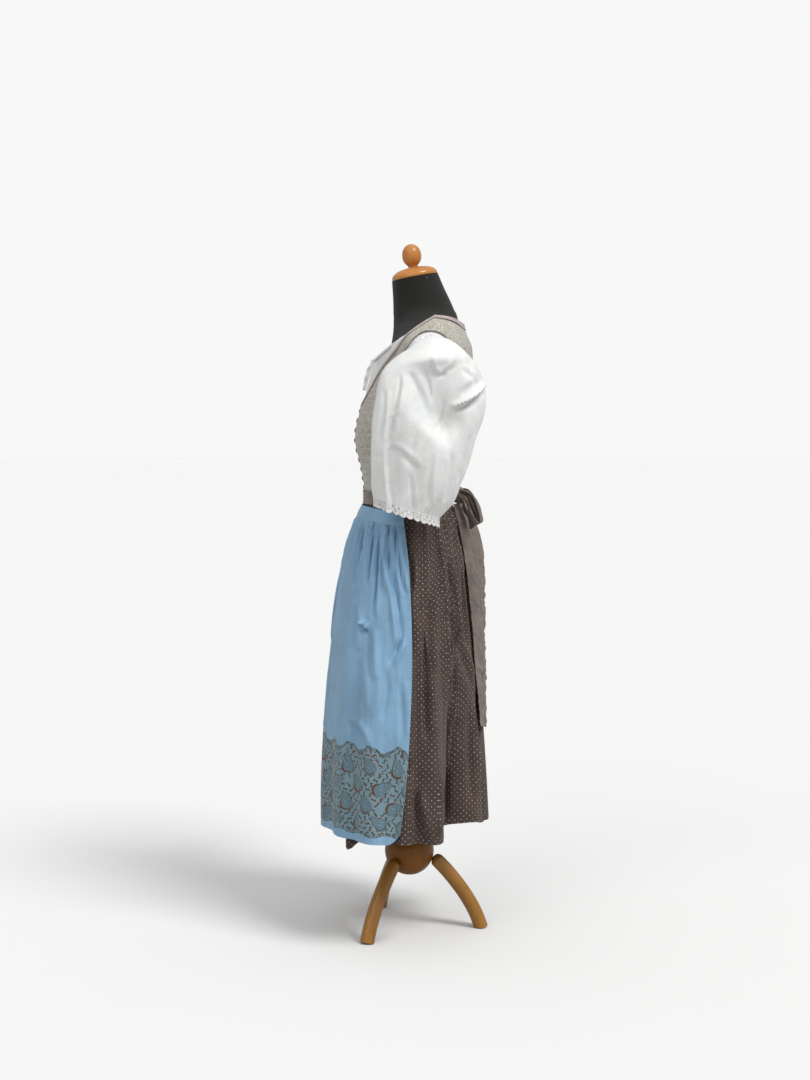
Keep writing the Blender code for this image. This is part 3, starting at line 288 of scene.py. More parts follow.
TARNISH, SILVER, LINT = (0.10, 0.09, 0.078), (0.30, 0.28, 0.25), (0.2, 0.2, 0.19)
PAPER_DARK, PAPER_PALE = (0.775, 0.775, 0.77), (0.79, 0.79, 0.785)

# ---------------------------------------------------------------- camera and light, in metres
LENS, SENSOR, CAMERA_AWAY, CAMERA_HEIGHT, CAMERA_DOWN = 59.259, 36, 4.0, 1.2188, 4.7269
FLOOR_SIDE, FLOOR_UNDER = 60, 0.0006
AIR_LIGHT, BACKDROP = 0.50, 0.94  # how bright the air is as light, and as what is seen behind
FLOOR_BOUNCE = (0.45, 0.45, 0.45)  # how much of the light the floor throws back up
Light = namedtuple("Light", "name place spread strength")
LIGHTS = [
    Light("key", (1.8, 2.1, 3.3), 22, 2.0),
    Light("front", (3.0, -1.6, 2.6), 40, 0.60),
    Light("top", (0.3, 0.2, 3.0), 60, 0.30),
]


# ================================================================ curves and surfaces, in mm
def hermite(table, at):
    """The columns of a table at places along its first column, on smooth curves through its rows."""
    rows = np.array(table, float)
    x = rows[:, 0]
    slope = np.empty_like(rows)
    slope[1:-1] = (rows[2:] - rows[:-2]) / (x[2:] - x[:-2])[:, None]
    slope[0] = (rows[1] - rows[0]) / (x[1] - x[0])
    slope[-1] = (rows[-1] - rows[-2]) / (x[-1] - x[-2])
    at = np.clip(np.asarray(at, float), x[0], x[-1])
    i = np.clip(np.searchsorted(x, at, side="right") - 1, 0, len(x) - 2)
    span = (x[i + 1] - x[i])[..., None]
    t = (at - x[i])[..., None] / span
    found = (
        (2 * t**3 - 3 * t**2 + 1) * rows[i] + (t**3 - 2 * t**2 + t) * slope[i] * span
        + (3 * t**2 - 2 * t**3) * rows[i + 1] + (t**3 - t**2) * slope[i + 1] * span
    )
    return np.moveaxis(found, -1, 0)[1:]


def bulge(distance, half):
    """1 at no distance, falling away smoothly on both sides."""
    return np.exp(-((distance / half) ** 2))


def smooth_step(value, low, high):
    """Goes smoothly from 0 to 1 as a value goes from low to high."""
    t = np.clip((value - low) / (high - low), 0, 1)
    return t * t * (3 - 2 * t)


def signed_power(value, power):
    return np.sign(value) * np.abs(value) ** power


def unit(vectors):
    return vectors / np.maximum(np.linalg.norm(vectors, axis=-1, keepdims=True), 1e-9)


def outline(half_width, front, mid, back, shape, angle):
    """(x, y) of a section. Angle in radians: 0 is the wearer's left and 90 degrees the back."""
    c, n = np.cos(angle), np.sin(angle)
    deep = np.where(n > 0, back - mid, mid - front)
    return half_width * signed_power(c, 2 / shape), mid + deep * signed_power(n, 2 / shape)


def bare_form(angle, height):
    """Points of the form's surface."""
    half, front, mid, back, tilt, shape = hermite(FORM, height)
    x, y = outline(half, front, mid, back, shape, angle)
    above = height - BUST_HEIGHT
    level = bulge(above, np.where(above > 0, BUST_RISE, BUST_FALL))
    across = bulge(np.maximum(np.abs(x) - BUST_FLAT, 0), BUST_SIDE) * (1 - BUST_DIP * bulge(x, BUST_DIP_WIDE))
    y = y - np.where(y < mid, BUST_OUT * level * across * np.sqrt(np.abs(np.sin(angle))), 0)
    z = height + (y - mid) * np.tan(np.radians(tilt))
    return np.stack(np.broadcast_arrays(x, y, z), -1)


def form_normal(angle, height):
    turn = bare_form(angle + 1e-3, height) - bare_form(angle - 1e-3, height)
    up = bare_form(angle, height + 0.5) - bare_form(angle, height - 0.5)
    return unit(np.cross(turn, up))


def form_point(angle, height, out):
    """Points of the form's surface, moved out from it."""
    angle, height = np.broadcast_arrays(np.asarray(angle, float), np.asarray(height, float))
    return bare_form(angle, height) + form_normal(angle, height) * np.asarray(out, float)[..., None]


def angle_across(across, height, back):
    """The angle at which the form is that far from its middle line."""
    half, *_, shape = hermite(FORM, height)
    turn = math.acos(min(across / half, 1.0) ** (shape / 2))
    return turn if back else -turn


def armhole(turn, ease=1.0):
    """(angle, height) round the left armhole. Turn 0 is its back and 90 degrees its top."""
    y = ARMHOLE_Y + ARMHOLE_DEEP * ease * np.cos(turn)
    up = np.sin(turn)
    z = ARMHOLE_Z + ARMHOLE_HIGH * ease * np.where(up > 0, np.abs(up) ** ARMHOLE_ARCH, up)
    _, front, mid, back, _, shape = hermite(FORM, z)
    away = y - mid
    deep = np.where(away > 0, back - mid, mid - front)
    return np.sign(away) * np.arcsin(np.minimum(np.abs(away) / deep, 1) ** (shape / 2)), z


def gone_along(line):
    """How far along a line each of its points is."""
    return np.concatenate([[0], np.cumsum(np.linalg.norm(np.diff(line, axis=0), axis=1))])


def picked(line, at):
    """Points on a line at places counted in its own points."""
    return np.stack([np.interp(at, np.arange(len(line)), line[:, k]) for k in range(3)], -1)


def spread_evenly(pairs, count):
    """count + 1 (angle, height) pairs on a smooth line through pairs, at even steps on the form."""
    pairs = np.array(pairs, float)
    gone = gone_along(form_point(*pairs.T, 0))
    fine = hermite(np.column_stack([gone, pairs]), np.linspace(0, gone[-1], 600)).T
    gone = gone_along(form_point(*fine.T, 0))
    at = np.linspace(0, gone[-1], count + 1)
    return np.column_stack([np.interp(at, gone, fine[:, 0]), np.interp(at, gone, fine[:, 1])])


def middle_rows(panel):
    """(angle, height) pairs up the middle of a panel and then along its neckline to the shoulder."""
    neck = [(angle_across(edge.across, edge.height, panel.back), edge.height) for edge in panel.neck]
    neck.append((0.0, panel.shoulder))
    angle, top = neck[0]
    rise = np.linspace(panel.foot, top, panel.low * FINE, endpoint=False)
    low = np.column_stack([np.full(len(rise), angle), rise])
    return np.vstack([low, spread_evenly(neck, panel.along * FINE)])


def side_rows(panel):
    """(angle, height) pairs up the side seam and then round the armhole to the shoulder."""
    low = np.array(armhole(-math.pi / 2, panel.ease))
    share = np.arange(panel.seam * FINE) / (panel.seam * FINE)
    seam = np.column_stack([low[0] * share, panel.foot + (low[1] - panel.foot) * share])
    half_turn = math.pi if panel.back else -math.pi
    turns = -math.pi / 2 + np.linspace(0, half_turn, panel.arc * FINE + 1)
    return np.vstack([seam, np.column_stack(armhole(turns, panel.ease))])


def half_panel(panel):
    """Points of a left half panel, in rows from its middle or neckline to its side or armhole."""
    share = np.linspace(0, 1, panel.columns + 1)[None, :, None]
    pairs = middle_rows(panel)[:, None, :] * (1 - share) + side_rows(panel)[:, None, :] * share
    points = form_point(pairs[..., 0], pairs[..., 1], panel.out)
    points[:, -1] += unit(points[:, -2] - points[:, -1]) * TIGHT_SEAM
    points[-1] += unit(points[-2] - points[-1]) * TIGHT_SEAM
    return points


def mirrored(points):
    """The mirror image across the middle, its rows turned round so that its faces still point out."""
    return (points * (-1, 1, 1))[:, ::-1]


def normals_of(points):
    """Unit normals of a grid of points, whose rows go across and whose columns go up."""
    return unit(np.cross(np.gradient(points, axis=1), np.gradient(points, axis=0)))


def lengths(points, axis):
    """How far along each line of a grid its points are."""
    step = np.linalg.norm(np.diff(points, axis=axis), axis=-1)
    gone = np.cumsum(step, axis=axis)
    return np.concatenate([np.zeros_like(gone.take([0], axis)), gone], axis)


def through(rings, count):
    """count + 1 rings on smooth curves through the given ones, at even steps."""
    rings = np.array(rings, float)
    step = np.linalg.norm(np.diff(rings, axis=0), axis=-1).mean(1)
    gone = np.concatenate([[0], np.cumsum(step)])
    table = np.column_stack([gone, rings.reshape(len(rings), -1)])
    flat = hermite(table, np.linspace(0, gone[-1], count + 1))
    return flat.T.reshape(count + 1, *rings.shape[1:])


# ================================================================ folds and creases
UNEVEN_CELLS = 61  # after how many cells the unevenness repeats


def uneven(u, v, size, seed):
    """Smooth heights from -1 to 1 that rise and fall about once in size."""
    lattice = np.random.default_rng(seed).uniform(-1, 1, (UNEVEN_CELLS, UNEVEN_CELLS))
    x, y = np.broadcast_arrays(u / size, v / size)
    i, j = np.floor(x).astype(int), np.floor(y).astype(int)
    s, t = smooth_step(x - i, 0, 1), smooth_step(y - j, 0, 1)
    i, j, right, above = (k % UNEVEN_CELLS for k in (i, j, i + 1, j + 1))
    low = lattice[i, j] * (1 - s) + lattice[right, j] * s
    high = lattice[i, above] * (1 - s) + lattice[right, above] * s
    return low * (1 - t) + high * t


# A crease is a soft trough from one place to another, with a low ridge on its left or right side.
# Across is measured level as the side is looked at, and bow is how far its middle bends aside.
Crease = namedtuple("Crease", "across0 z0 across1 z1 wide deep bow ridge")
FACING = {"left": (1, 0, 0), "right": (-1, 0, 0), "front": (0, -1, 0), "back": (0, 1, 0)}


def creased(points, normals, creases, side):
    """How far the creases of one side move each point along its normal."""
    facing = np.array(FACING[side], float)
    across = points[..., 0] * abs(facing[1]) + points[..., 1] * abs(facing[0])
    seen = smooth_step(normals @ facing, 0.05, 0.45)
    total = np.zeros(points.shape[:-1])
    for c in creases:
        a, b = np.array([c.across0, c.z0]), np.array([c.across1, c.z1])
        ahead = b - a
        long = np.linalg.norm(ahead)
        aside = np.array([-ahead[1], ahead[0]]) / long
        rel_u, rel_v = across - a[0], points[..., 2] - a[1]
        t = np.clip((rel_u * ahead[0] + rel_v * ahead[1]) / long**2, 0, 1)
        bend = c.bow * 4 * t * (1 - t)
        du, dv = rel_u - ahead[0] * t - aside[0] * bend, rel_v - ahead[1] * t - aside[1] * bend
        signed = du * aside[0] + dv * aside[1]
        away = np.hypot(du, dv)
        fade = np.sqrt(np.clip(4 * t * (1 - t), 0, 1))
        total -= c.deep * fade * bulge(away, c.wide)
        ridge = bulge(signed - math.copysign(1.7 * c.wide, c.ridge), c.wide)
        total += abs(c.ridge) * c.deep * fade * ridge * bulge(np.maximum(away - 4 * c.wide, 0), c.wide)
    return total * seen


def varied(creases, seed, shift=7.0):
    """The same kinds of crease for a hidden side, moved and turned a little so that none repeats."""
    rng = np.random.default_rng(seed)
    found = []
    for c in creases:
        move = rng.uniform(-shift, shift, 4)
        found.append(Crease(
            c.across0 + move[0], c.z0 + 2 * move[1], c.across1 + move[2], c.z1 + 2 * move[3],
            c.wide * rng.uniform(0.8, 1.3), c.deep * rng.uniform(0.7, 1.15), c.bow * rng.uniform(0.4, 1.4),
            c.ridge,
        ))
    return found


def pressed(points, normal, creases, hidden):
    """Points with the creases of the left side, and with others like them on the hidden sides. hidden
    gives each hidden side's seed and how far its creases may move."""
    for side in ("left", *hidden):
        these = creases if side == "left" else varied(creases, *hidden[side])
        points = points + normal * creased(points, normal, these, side)[..., None]
    return points


# ================================================================ meshes
def shown(name, grids, finish, thickness, merge=MERGE_WITHIN, kept=None):
    """A cloth piece from grids of (points in mm, uv in mm), joined where they meet, with its wall.
    With no thickness the grids close on themselves and make a solid. kept tells which faces of its
    only grid are there."""
    points, faces, uvs, first = [], [], [], 0
    for grid, uv in grids:
        rows, columns = grid.shape[:2]
        low = first + np.arange(rows - 1)[:, None] * columns + np.arange(columns - 1)[None, :]
        quads = np.stack([low, low + 1, low + columns + 1, low + columns], -1)
        faces.append(quads.reshape(-1, 4) if kept is None else quads[kept])
        points.append(grid.reshape(-1, 3))
        uvs.append(uv.reshape(-1, 2))
        first += rows * columns
    points, faces, uvs = np.vstack(points) * MM, np.vstack(faces), np.vstack(uvs) * MM
    mesh = bpy.data.meshes.new(name)
    mesh.from_pydata(points, [], faces)
    mesh.uv_layers.new(name=UV_NAME).data.foreach_set("uv", uvs[faces.ravel()].ravel())
    mesh.shade_smooth()
    bm = bmesh.new()
    bm.from_mesh(mesh)
    bmesh.ops.remove_doubles(bm, verts=bm.verts, dist=merge * MM)
    bmesh.ops.delete(bm, geom=[v for v in bm.verts if not v.link_faces], context="VERTS")
    if not thickness:
        bmesh.ops.recalc_face_normals(bm, faces=bm.faces)
    bm.to_mesh(mesh)
    bm.free()
    obj = bpy.data.objects.new(name, mesh)
    bpy.context.scene.collection.objects.link(obj)
    if thickness:
        wall = obj.modifiers.new("Cloth wall", "SOLIDIFY")
        wall.thickness = thickness * MM
        wall.offset = 0
    apply_modifiers(obj)
    bpy.ops.object.shade_smooth_by_angle(angle=math.radians(CLOTH_EDGE))
    return dressed(obj, finish)


def dressed(obj, finish):
    """Gives a piece its one material and puts it on the frame."""
    obj.data.materials.clear()
    obj.data.materials.append(finish)
    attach(obj, BODY)
    return obj


def only(obj):
    """Selects one object and nothing else."""
    bpy.ops.object.select_all(action="DESELECT")
    obj.select_set(True)
    bpy.context.view_layer.objects.active = obj


def apply_modifiers(obj):
    """Applies all of a piece's modifiers and leaves it selected."""
    only(obj)
    for modifier in list(obj.modifiers):
        bpy.ops.object.modifier_apply(modifier=modifier.name)


def cloth_uv(points, across=None, up=None):
    """Cloth coordinates of a grid in mm, as measured along it from its first corner."""
    u = lengths(points, 1) if across is None else across
    v = lengths(points, 0) if up is None else up
    return np.stack(np.broadcast_arrays(u, v), -1)


def grid_of(points):
    """A single grid with its cloth coordinates, as shown() takes it."""
    return [(points, cloth_uv(points))]


def halves(points, middle=0):
    """A left half panel and its mirror image, with cloth coordinates that run on across the column that
    is the panel's middle."""
    u, v = lengths(points, 1), lengths(points, 0)
    u = u - u[:, [middle]]
    return [(points, np.stack([u, v], -1)), (mirrored(points), np.stack([-u[:, ::-1], v[:, ::-1]], -1))]


def strip_beside(points, wide, out, crown, columns=5):
    """A rounded strip on a panel beside its first column, with its rows along that edge."""
    here = points[:, 0]
    normal = normals_of(points)[:, 0]
    ahead = unit(np.gradient(here, axis=0))
    inward = unit(np.cross(ahead, normal))
    found = []
    for share in np.linspace(0, 1, columns):
        lift = out + crown * (math.sin(math.pi * share) - 0.5)
        found.append(here + inward * wide * share + normal * lift)
    return np.stack(found, 1)


# ================================================================ the garment's own shapes
def neck_half_width(height):
    """Half the width of the bodice's front neckline."""
    across, heights = zip(*FRONT_NECK)
    return np.interp(height, heights, across, left=0)


def blouse_puff(x, z):
    """How far the gathered blouse front stands forward, nothing where the bodice lies on it."""
    half = np.maximum(neck_half_width(z) - PUFF_CLEAR, 1e-3)
    off = hermite(BLOUSE_PUFF, z)[0]
    return off * np.clip(1 - (x / half) ** 2, 0, 1) ** 1.3


def sleeve_ring(outer_x, outer_z, inner_x, inner_z, y, half_depth, fall, turns):
    """Points round the sleeve at one place of its length. Turn 0 is its back and 90 degrees its outside."""
    across, lift = (outer_x - inner_x) / 2, (outer_z - inner_z) / 2
    x = (outer_x + inner_x) / 2 + across * np.sin(turns)
    z = (outer_z + inner_z) / 2 + lift * np.sin(turns)
    py = y + half_depth * np.cos(turns)
    return np.stack([x, py, z - fall * (py - y)], -1)


def fold_out(folds, degrees, fraction):
    """Sum of the folds at a place. Fraction is 0 at the hem and 1 at the waist."""
    total = np.zeros(np.broadcast(degrees, fraction).shape)
    for fold in folds:
        away = (degrees - fold.angle + 180) % 360 - 180
        fade = (1 + np.cos(np.pi * np.minimum(fraction / fold.reach, 1))) / 2
        total += fold.out * bulge(away, fold.spread) * fade
    return total


def gather_out(degrees, below, count, deep, long, start=35):
    """Small even gathers that start under a seam and die out lower down."""
    strength = np.clip(below / start, 0, 1) * np.clip(1 - below / long, 0, 1)
    return deep * strength * np.sin(np.radians(count * degrees))


def skirt_point(angle, height, out):
    """Points of the skirt's smooth shape, moved out level from it."""
    half, front, mid, back, shape = hermite(SKIRT, height)
    x, y = outline(half, front, mid, back, shape, angle)
    x0, y0 = outline(half, front, mid, back, shape, angle - 1e-3)
    x1, y1 = outline(half, front, mid, back, shape, angle + 1e-3)
    level = unit(np.stack([y1 - y0, x0 - x1], -1))
    x, y, z = np.broadcast_arrays(x, y, height)
    return np.stack([x + level[..., 0] * out, y + level[..., 1] * out, z], -1)


def hem_drop(degrees, height):
    """How much lower the skirt's cloth hangs where its hem dips."""
    drop = np.zeros(np.broadcast(degrees, height).shape)
    for dip in HEM_DIPS:
        drop = drop + dip.down * bulge((degrees - dip.angle + 180) % 360 - 180, dip.spread)
    return drop * np.clip((HEM_DIP_TOP - height) / HEM_DIP_FADE, 0, 1)


# ================================================================ what a user may change
def length(name, description, default, low, high):
    """A size that a user may change, in metres."""
    return bpy.props.FloatProperty(
        name=name, description=description, default=default * MM, min=low * MM, max=high * MM,
        subtype="DISTANCE", unit="LENGTH", precision=4,
    )


def dye(name, description, default):
    """A colour that a user may change."""
    return bpy.props.FloatVectorProperty(
        name=name, description=description, default=default, min=0.0, max=1.0, size=3, subtype="COLOR",
    )


class DirndlSizes(bpy.types.PropertyGroup):
    """Sizes that a user would change."""
    button_radius: length("Button radius", "Half the width of a bodice button", 5.5, 3, 9)
    dot_radius: length("Dot radius", "Half the width of a dot on the skirt", DOT_RADIUS, 0.5, 4)
    dot_step: length("Dot step", "How far apart the skirt's dots are", DOT_STEP, 6, 30)
    border_high: length("Border height", "Top of the border above the apron's hem", BORDER_TOP, 60, 300)
    paisley_wide: length("Paisley width", "How far apart the apron's paisleys are", PAISLEY_WIDE, 30, 120)
    lace_deep: length("Lace depth", "From the sleeve's hem to the points of its lace", LACE_POINT, 12, 24)


class DirndlColours(bpy.types.PropertyGroup):
    """Colours that a user would change."""
    apron: dye("Apron", "Ground of the apron's cotton", APRON_BLUE)
    border: dye("Border", "Ground of the apron's printed border", PRINT_GROUND)
    skirt: dye("Skirt", "Ground of the skirt's cotton", SKIRT_BROWN)
    dots: dye("Dots", "Dots on the skirt", SKIRT_DOT)
    ribbon: dye("Ribbon", "Taffeta of the sash and its bow", TAFFETA)
    piping: dye("Piping", "Taffeta round the neckline", PIPING)
    brocade: dye("Brocade", "Ground of the bodice's brocade", BROCADE)
    cotton: dye("Cotton", "Blouse, sleeves and lace", COTTON)
    jersey: dye("Jersey", "Cover of the dress form", JERSEY)


# ================================================================ operators
class DIRNDL_OT_stand(bpy.types.Operator):
    """Turn the pole, hub and legs, and the cap and finial on the form's neck."""
    bl_idname = "dirndl.stand"
    bl_label = "Stand"

    def execute(self, context):
        light, dark = wood_light(), wood_dark()
        hub_ring = [(HUB_RADIUS * math.cos(a), HUB_RADIUS * math.sin(a)) for a in HUB_ARC]
        hub_top = hub_ring[-1][1]
        turned("wooden_hub", hub_ring, hub_top, (0, STAND_Y, HUB_HEIGHT), dark, "hub", HUB_SIDES)
        pole_foot = HUB_HEIGHT + hub_top + SEAM_GAP
        high = TORSO_FOOT - SEAM_GAP - pole_foot
        pole = [(POLE_RADIUS, 0), (POLE_RADIUS, high * 0.5), (POLE_RADIUS, high)]
        turned("wooden_pole", pole, high, (0, STAND_Y, pole_foot), light, "pole", POLE_SIDES)
        for name, degrees in LEG_ANGLES.items():
            leg(name, degrees, wood_leg())
        lean = math.radians(NECK_TOP.tilt)
        normal = np.array([0, -math.sin(lean), math.cos(lean)])
        neck = np.array([0, NECK_TOP.mid, NECK_TOP.height])
        cap_foot = neck + normal * SEAM_GAP
        turned("wooden_cap", CAP_PROFILE, CAP_HIGH, cap_foot, light, "neck_cap", CAP_SIDES,
               leaning(NECK_TOP.tilt))
        seat = neck + normal * (CAP_HIGH + FINIAL_SEAT)
        turned("wooden_finial", FINIAL_PROFILE, FINIAL_HIGH, seat, light, "finial",
               FINIAL_SIDES, leaning(FINIAL_LEAN))
        pin_angle = math.radians(PIN_ANGLE)
        pin_place = form_point(pin_angle, PIN_HEIGHT, 0.0)
        turned("pin_head", PIN_PROFILE, PIN_HIGH, pin_place, dark_metal(), None, PIN_SIDES,
               facing(form_normal(pin_angle, PIN_HEIGHT)))
        return {"FINISHED"}


def leaning(degrees):
    """The turn that leans a piece back."""
    return Matrix.Rotation(math.radians(degrees), 4, "X")


def facing(normal):
    """The turn that points a piece's top along a normal."""
    return Vector(normal).to_track_quat("Z", "Y").to_matrix().to_4x4()


def turned(name, profile, top, foot, finish, node, sides, lean=leaning(0)):
    """A turned piece: a ring at its foot, drawn up and resized along the profile, rounded and leant."""
    bpy.ops.object.select_all(action="DESELECT")
    line = smooth_profile(profile, top)
    radius, height = line[0]
    start = Vector(foot) * MM + Vector((0, 0, height * MM))
    bpy.ops.mesh.primitive_circle_add(vertices=sides, radius=radius * MM, fill_type="NGON", location=start)
    obj = bpy.context.object
    obj.name = name
    bpy.ops.object.mode_set(mode="EDIT")
    for wide, high in line[1:]:
        bpy.ops.mesh.extrude_region_move(TRANSFORM_OT_translate={"value": (0, 0, (high - height) * MM)})
        centre = Vector(foot) * MM + Vector((0, 0, high * MM))
        bpy.ops.transform.resize(value=(wide / radius, wide / radius, 1), center_override=centre)
        radius, height = wide, high
    bpy.ops.mesh.select_all(action="SELECT")
    bpy.ops.mesh.normals_make_consistent(inside=False)
    bpy.ops.object.mode_set(mode="OBJECT")
    bpy.ops.object.transform_apply(location=True, rotation=True, scale=True)
    turn = Matrix.Translation(Vector(foot) * MM) @ lean
    obj.data.transform(turn @ Matrix.Translation(-Vector(foot) * MM))
    bpy.ops.object.shade_smooth_by_angle(angle=math.radians(WOOD_EDGE))
    if node:
        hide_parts(node)
    return dressed(obj, finish)


def smooth_profile(profile, top):
    """(radius, height) steps along a rounded line through a profile, closing towards its top."""
    line = np.array(profile + [(0.6, top)], float)
    gone = gone_along(line)
    steps = max(PROFILE_LEAST, min(PROFILE_MOST, int(gone[-1] / PROFILE_STEP)))
    radius, height = hermite(np.column_stack([gone, line]), np.linspace(0, gone[-1], steps + 1))
    return list(zip(np.maximum(radius, 0.5), height))


def leg(name, degrees, finish):
    """A round leg, bent by hand from the hub to the floor and turned to its place round the stand."""
    bpy.ops.object.select_all(action="DESELECT")
    line = np.array(LEG_LINE, float)
    gone = gone_along(line)
    rounded = np.linspace(0, LEG_ROUND, LEG_TOP_STEPS + 1)
    steps = np.concatenate([rounded, np.linspace(LEG_ROUND, gone[-1], LEG_STEPS + 1)[1:]])
    away, up = hermite(np.column_stack([gone, line]), steps)
    slopes = np.arctan2(np.gradient(up), np.gradient(away))
    start = Vector((away[0] * MM, STAND_Y * MM, up[0] * MM))
    girth = LEG_RADIUS * np.sqrt(1 - np.clip(1 - (steps + 0.6) / LEG_ROUND, 0, 1) ** 2)
    bpy.ops.mesh.primitive_circle_add(
        vertices=LEG_SIDES, radius=girth[0] * MM, fill_type="NGON", location=start,
        rotation=(0, math.pi / 2 - slopes[0], 0),
    )
    obj = bpy.context.object
    obj.name = name + "_turned"
    bpy.ops.object.transform_apply(location=False, rotation=True, scale=False)
    bpy.ops.object.mode_set(mode="EDIT")
    slope = slopes[0]
    for k in range(1, len(away)):
        step = ((away[k] - away[k - 1]) * MM, 0, (up[k] - up[k - 1]) * MM)
        bpy.ops.mesh.extrude_region_move(TRANSFORM_OT_translate={"value": step})
        centre = (away[k] * MM, STAND_Y * MM, up[k] * MM)
        bpy.ops.transform.rotate(value=slopes[k] - slope, orient_axis="Y", center_override=centre)
        wider = girth[k] / girth[k - 1]
        bpy.ops.transform.resize(value=(wider, wider, wider), center_override=centre)
        slope = slopes[k]
    bpy.ops.mesh.select_all(action="SELECT")
    bpy.ops.mesh.normals_make_consistent(inside=False)
    bpy.ops.mesh.bisect(plane_co=(0, 0, 0), plane_no=(0, 0, 1), use_fill=True, clear_inner=True)
    bpy.ops.object.mode_set(mode="OBJECT")
    obj.data.transform(Matrix.Translation(obj.location))
    obj.location = (0, 0, 0)
    axis = Vector((0, STAND_Y * MM, 0))
    turn = Matrix.Rotation(math.radians(degrees), 4, "Z")
    obj.data.transform(Matrix.Translation(axis) @ turn @ Matrix.Translation(-axis))
    bpy.ops.object.shade_smooth_by_angle(angle=math.radians(WOOD_EDGE))
    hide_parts(name)
    dressed(obj, finish)


class DIRNDL_OT_form(bpy.types.Operator):
    """Cover the limbless torso and its neck with jersey."""
    bl_idname = "dirndl.form"
    bl_label = "Dress form"

    def execute(self, context):
        turns = np.linspace(-math.pi, math.pi, FORM_TURNS + 1)
        heights = np.concatenate([
            np.linspace(TORSO_FOOT, SHOULDER_FOOT, FORM_LOW_RINGS),
            np.linspace(SHOULDER_FOOT + SHOULDER_STEP, NECK_TOP.height, FORM_HIGH_RINGS),
        ])
        slimmer = TORSO_EASE * np.clip((TORSO_EASE_TOP - heights) / TORSO_EASE_FADE, 0, 1)
        points = form_point(turns[None, :], heights[:, None], -slimmer[:, None])
        points[0, :, 2] = TORSO_FOOT
        low, high = points[0].mean(0), points[-1].mean(0)
        under = low + (points[0] - low) * np.linspace(0, 1, FORM_FOOT_RINGS, endpoint=False)[:, None, None]
        over = high + (points[-1] - high) * np.linspace(1, 0, FORM_TOP_RINGS + 1)[1:, None, None]
        whole = np.concatenate([under, points, over])
        obj = shown("jersey_form", grid_of(whole), jersey(), 0)
        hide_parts("torso_form")
        return {"FINISHED"}


class DIRNDL_OT_blouse(bpy.types.Operator):
    """Gather the short blouse at its neckline, with a binding and a frill at its slit."""
    bl_idname = "dirndl.blouse"
    bl_label = "Blouse"

    def execute(self, context):
        base = half_panel(BLOUSE_FRONT)
        puff = blouse_puff(base[..., 0], base[..., 2])
        base[..., 1] -= puff
        open_part = np.clip(puff / PUFF_OPEN, 0, 1)
        low = BLOUSE_FRONT.low
        under = neck_depth(base, low * FINE)
        front = base + normals_of(base) * (neck_gathers(base, under, NECK_SEED) * open_part)[..., None]
        front[:, 0, 0] = np.maximum(front[:, 0, 0], 0)
        cotton = white_cotton()
        cloth = shown("blouse_front_cloth", halves(front), cotton, BLOUSE_THICK)
        edge = base[low * FINE:(low + BINDING_ROWS) * FINE + 1]
        binding = strip_beside(edge, BINDING_WIDE, BINDING_RISE, 1.0, 7)
        binding[0, :, 0] = 0
        bound = shown("blouse_binding_cloth", halves(binding), cotton, BLOUSE_THICK)
        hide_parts("blouse_binding")
        edging = frill(base[(low - FRILL_RUN) * FINE:low * FINE + 1, 0], cotton)
        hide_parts("blouse_frill")
        declare(cloth, "blouse_front")
        back = halves(half_panel(BLOUSE_BACK)[:, ::-1], -1)
        obj = shown("blouse_back_cloth", back, cotton, BLOUSE_THICK)
        declare(obj, "blouse_back")
        return {"FINISHED"}


def neck_depth(points, first):
    """How far each point of a half panel lies below the panel's neckline."""
    edge = points[first:, 0]
    height = np.interp(np.abs(points[..., 0]), edge[:, 0], edge[:, 2])
    return np.maximum(height - points[..., 2], 0)


def neck_gathers(points, under, seed):
    """Fine gathers that hang from the neckline and part lower down."""
    across = points[..., 0] + 0.25 * uneven(points[..., 0], points[..., 2], 30, seed) * under
    fine = np.sin(across * 2 * np.pi / NECK_PITCH) * bulge(under, 26)
    broad = uneven(across, points[..., 2] * 0.25, 11, seed + 1) * bulge(under, 70)
    return 1.2 * fine + 3.0 * broad


def frill(slit, finish):
    """A small ruffle along the blouse's slit."""
    share = np.linspace(0, 1, FRILL_COLUMNS + 1)
    at = share * (len(slit) - 1)
    base = picked(slit, at)
    ahead = unit(np.gradient(base, axis=0))
    normal = np.stack([0 * at, -ahead[:, 2], ahead[:, 1]], -1)
    base = base + normal * (BLOUSE_THICK / 2 + 2 * SEAM_GAP)
    wave = np.sin(2 * np.pi * FRILL_WAVES * share)[:, None]
    wide = (FRILL_WIDE * np.sqrt(np.sin(np.pi * (0.15 + 0.7 * share))))[:, None]
    t = np.linspace(0, 1, FRILL_ROWS + 1)[None, :]
    points = base[:, None, :] + np.stack([FRILL_DEEP * wave * t * t, -wide * t, 0 * wave * t], -1)
    return shown("blouse_frill_cloth", grid_of(points), finish, SHEER_THICK)


def declare(obj, node):
    """Hides the solid that a cloth piece stands for, and reads the piece's cloth coordinates without using
    them.
    """
    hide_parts(node)
    uv = np.empty(len(obj.data.loops) * 2, np.float32)
    obj.data.uv_layers[UV_NAME].data.foreach_get("uv", uv)


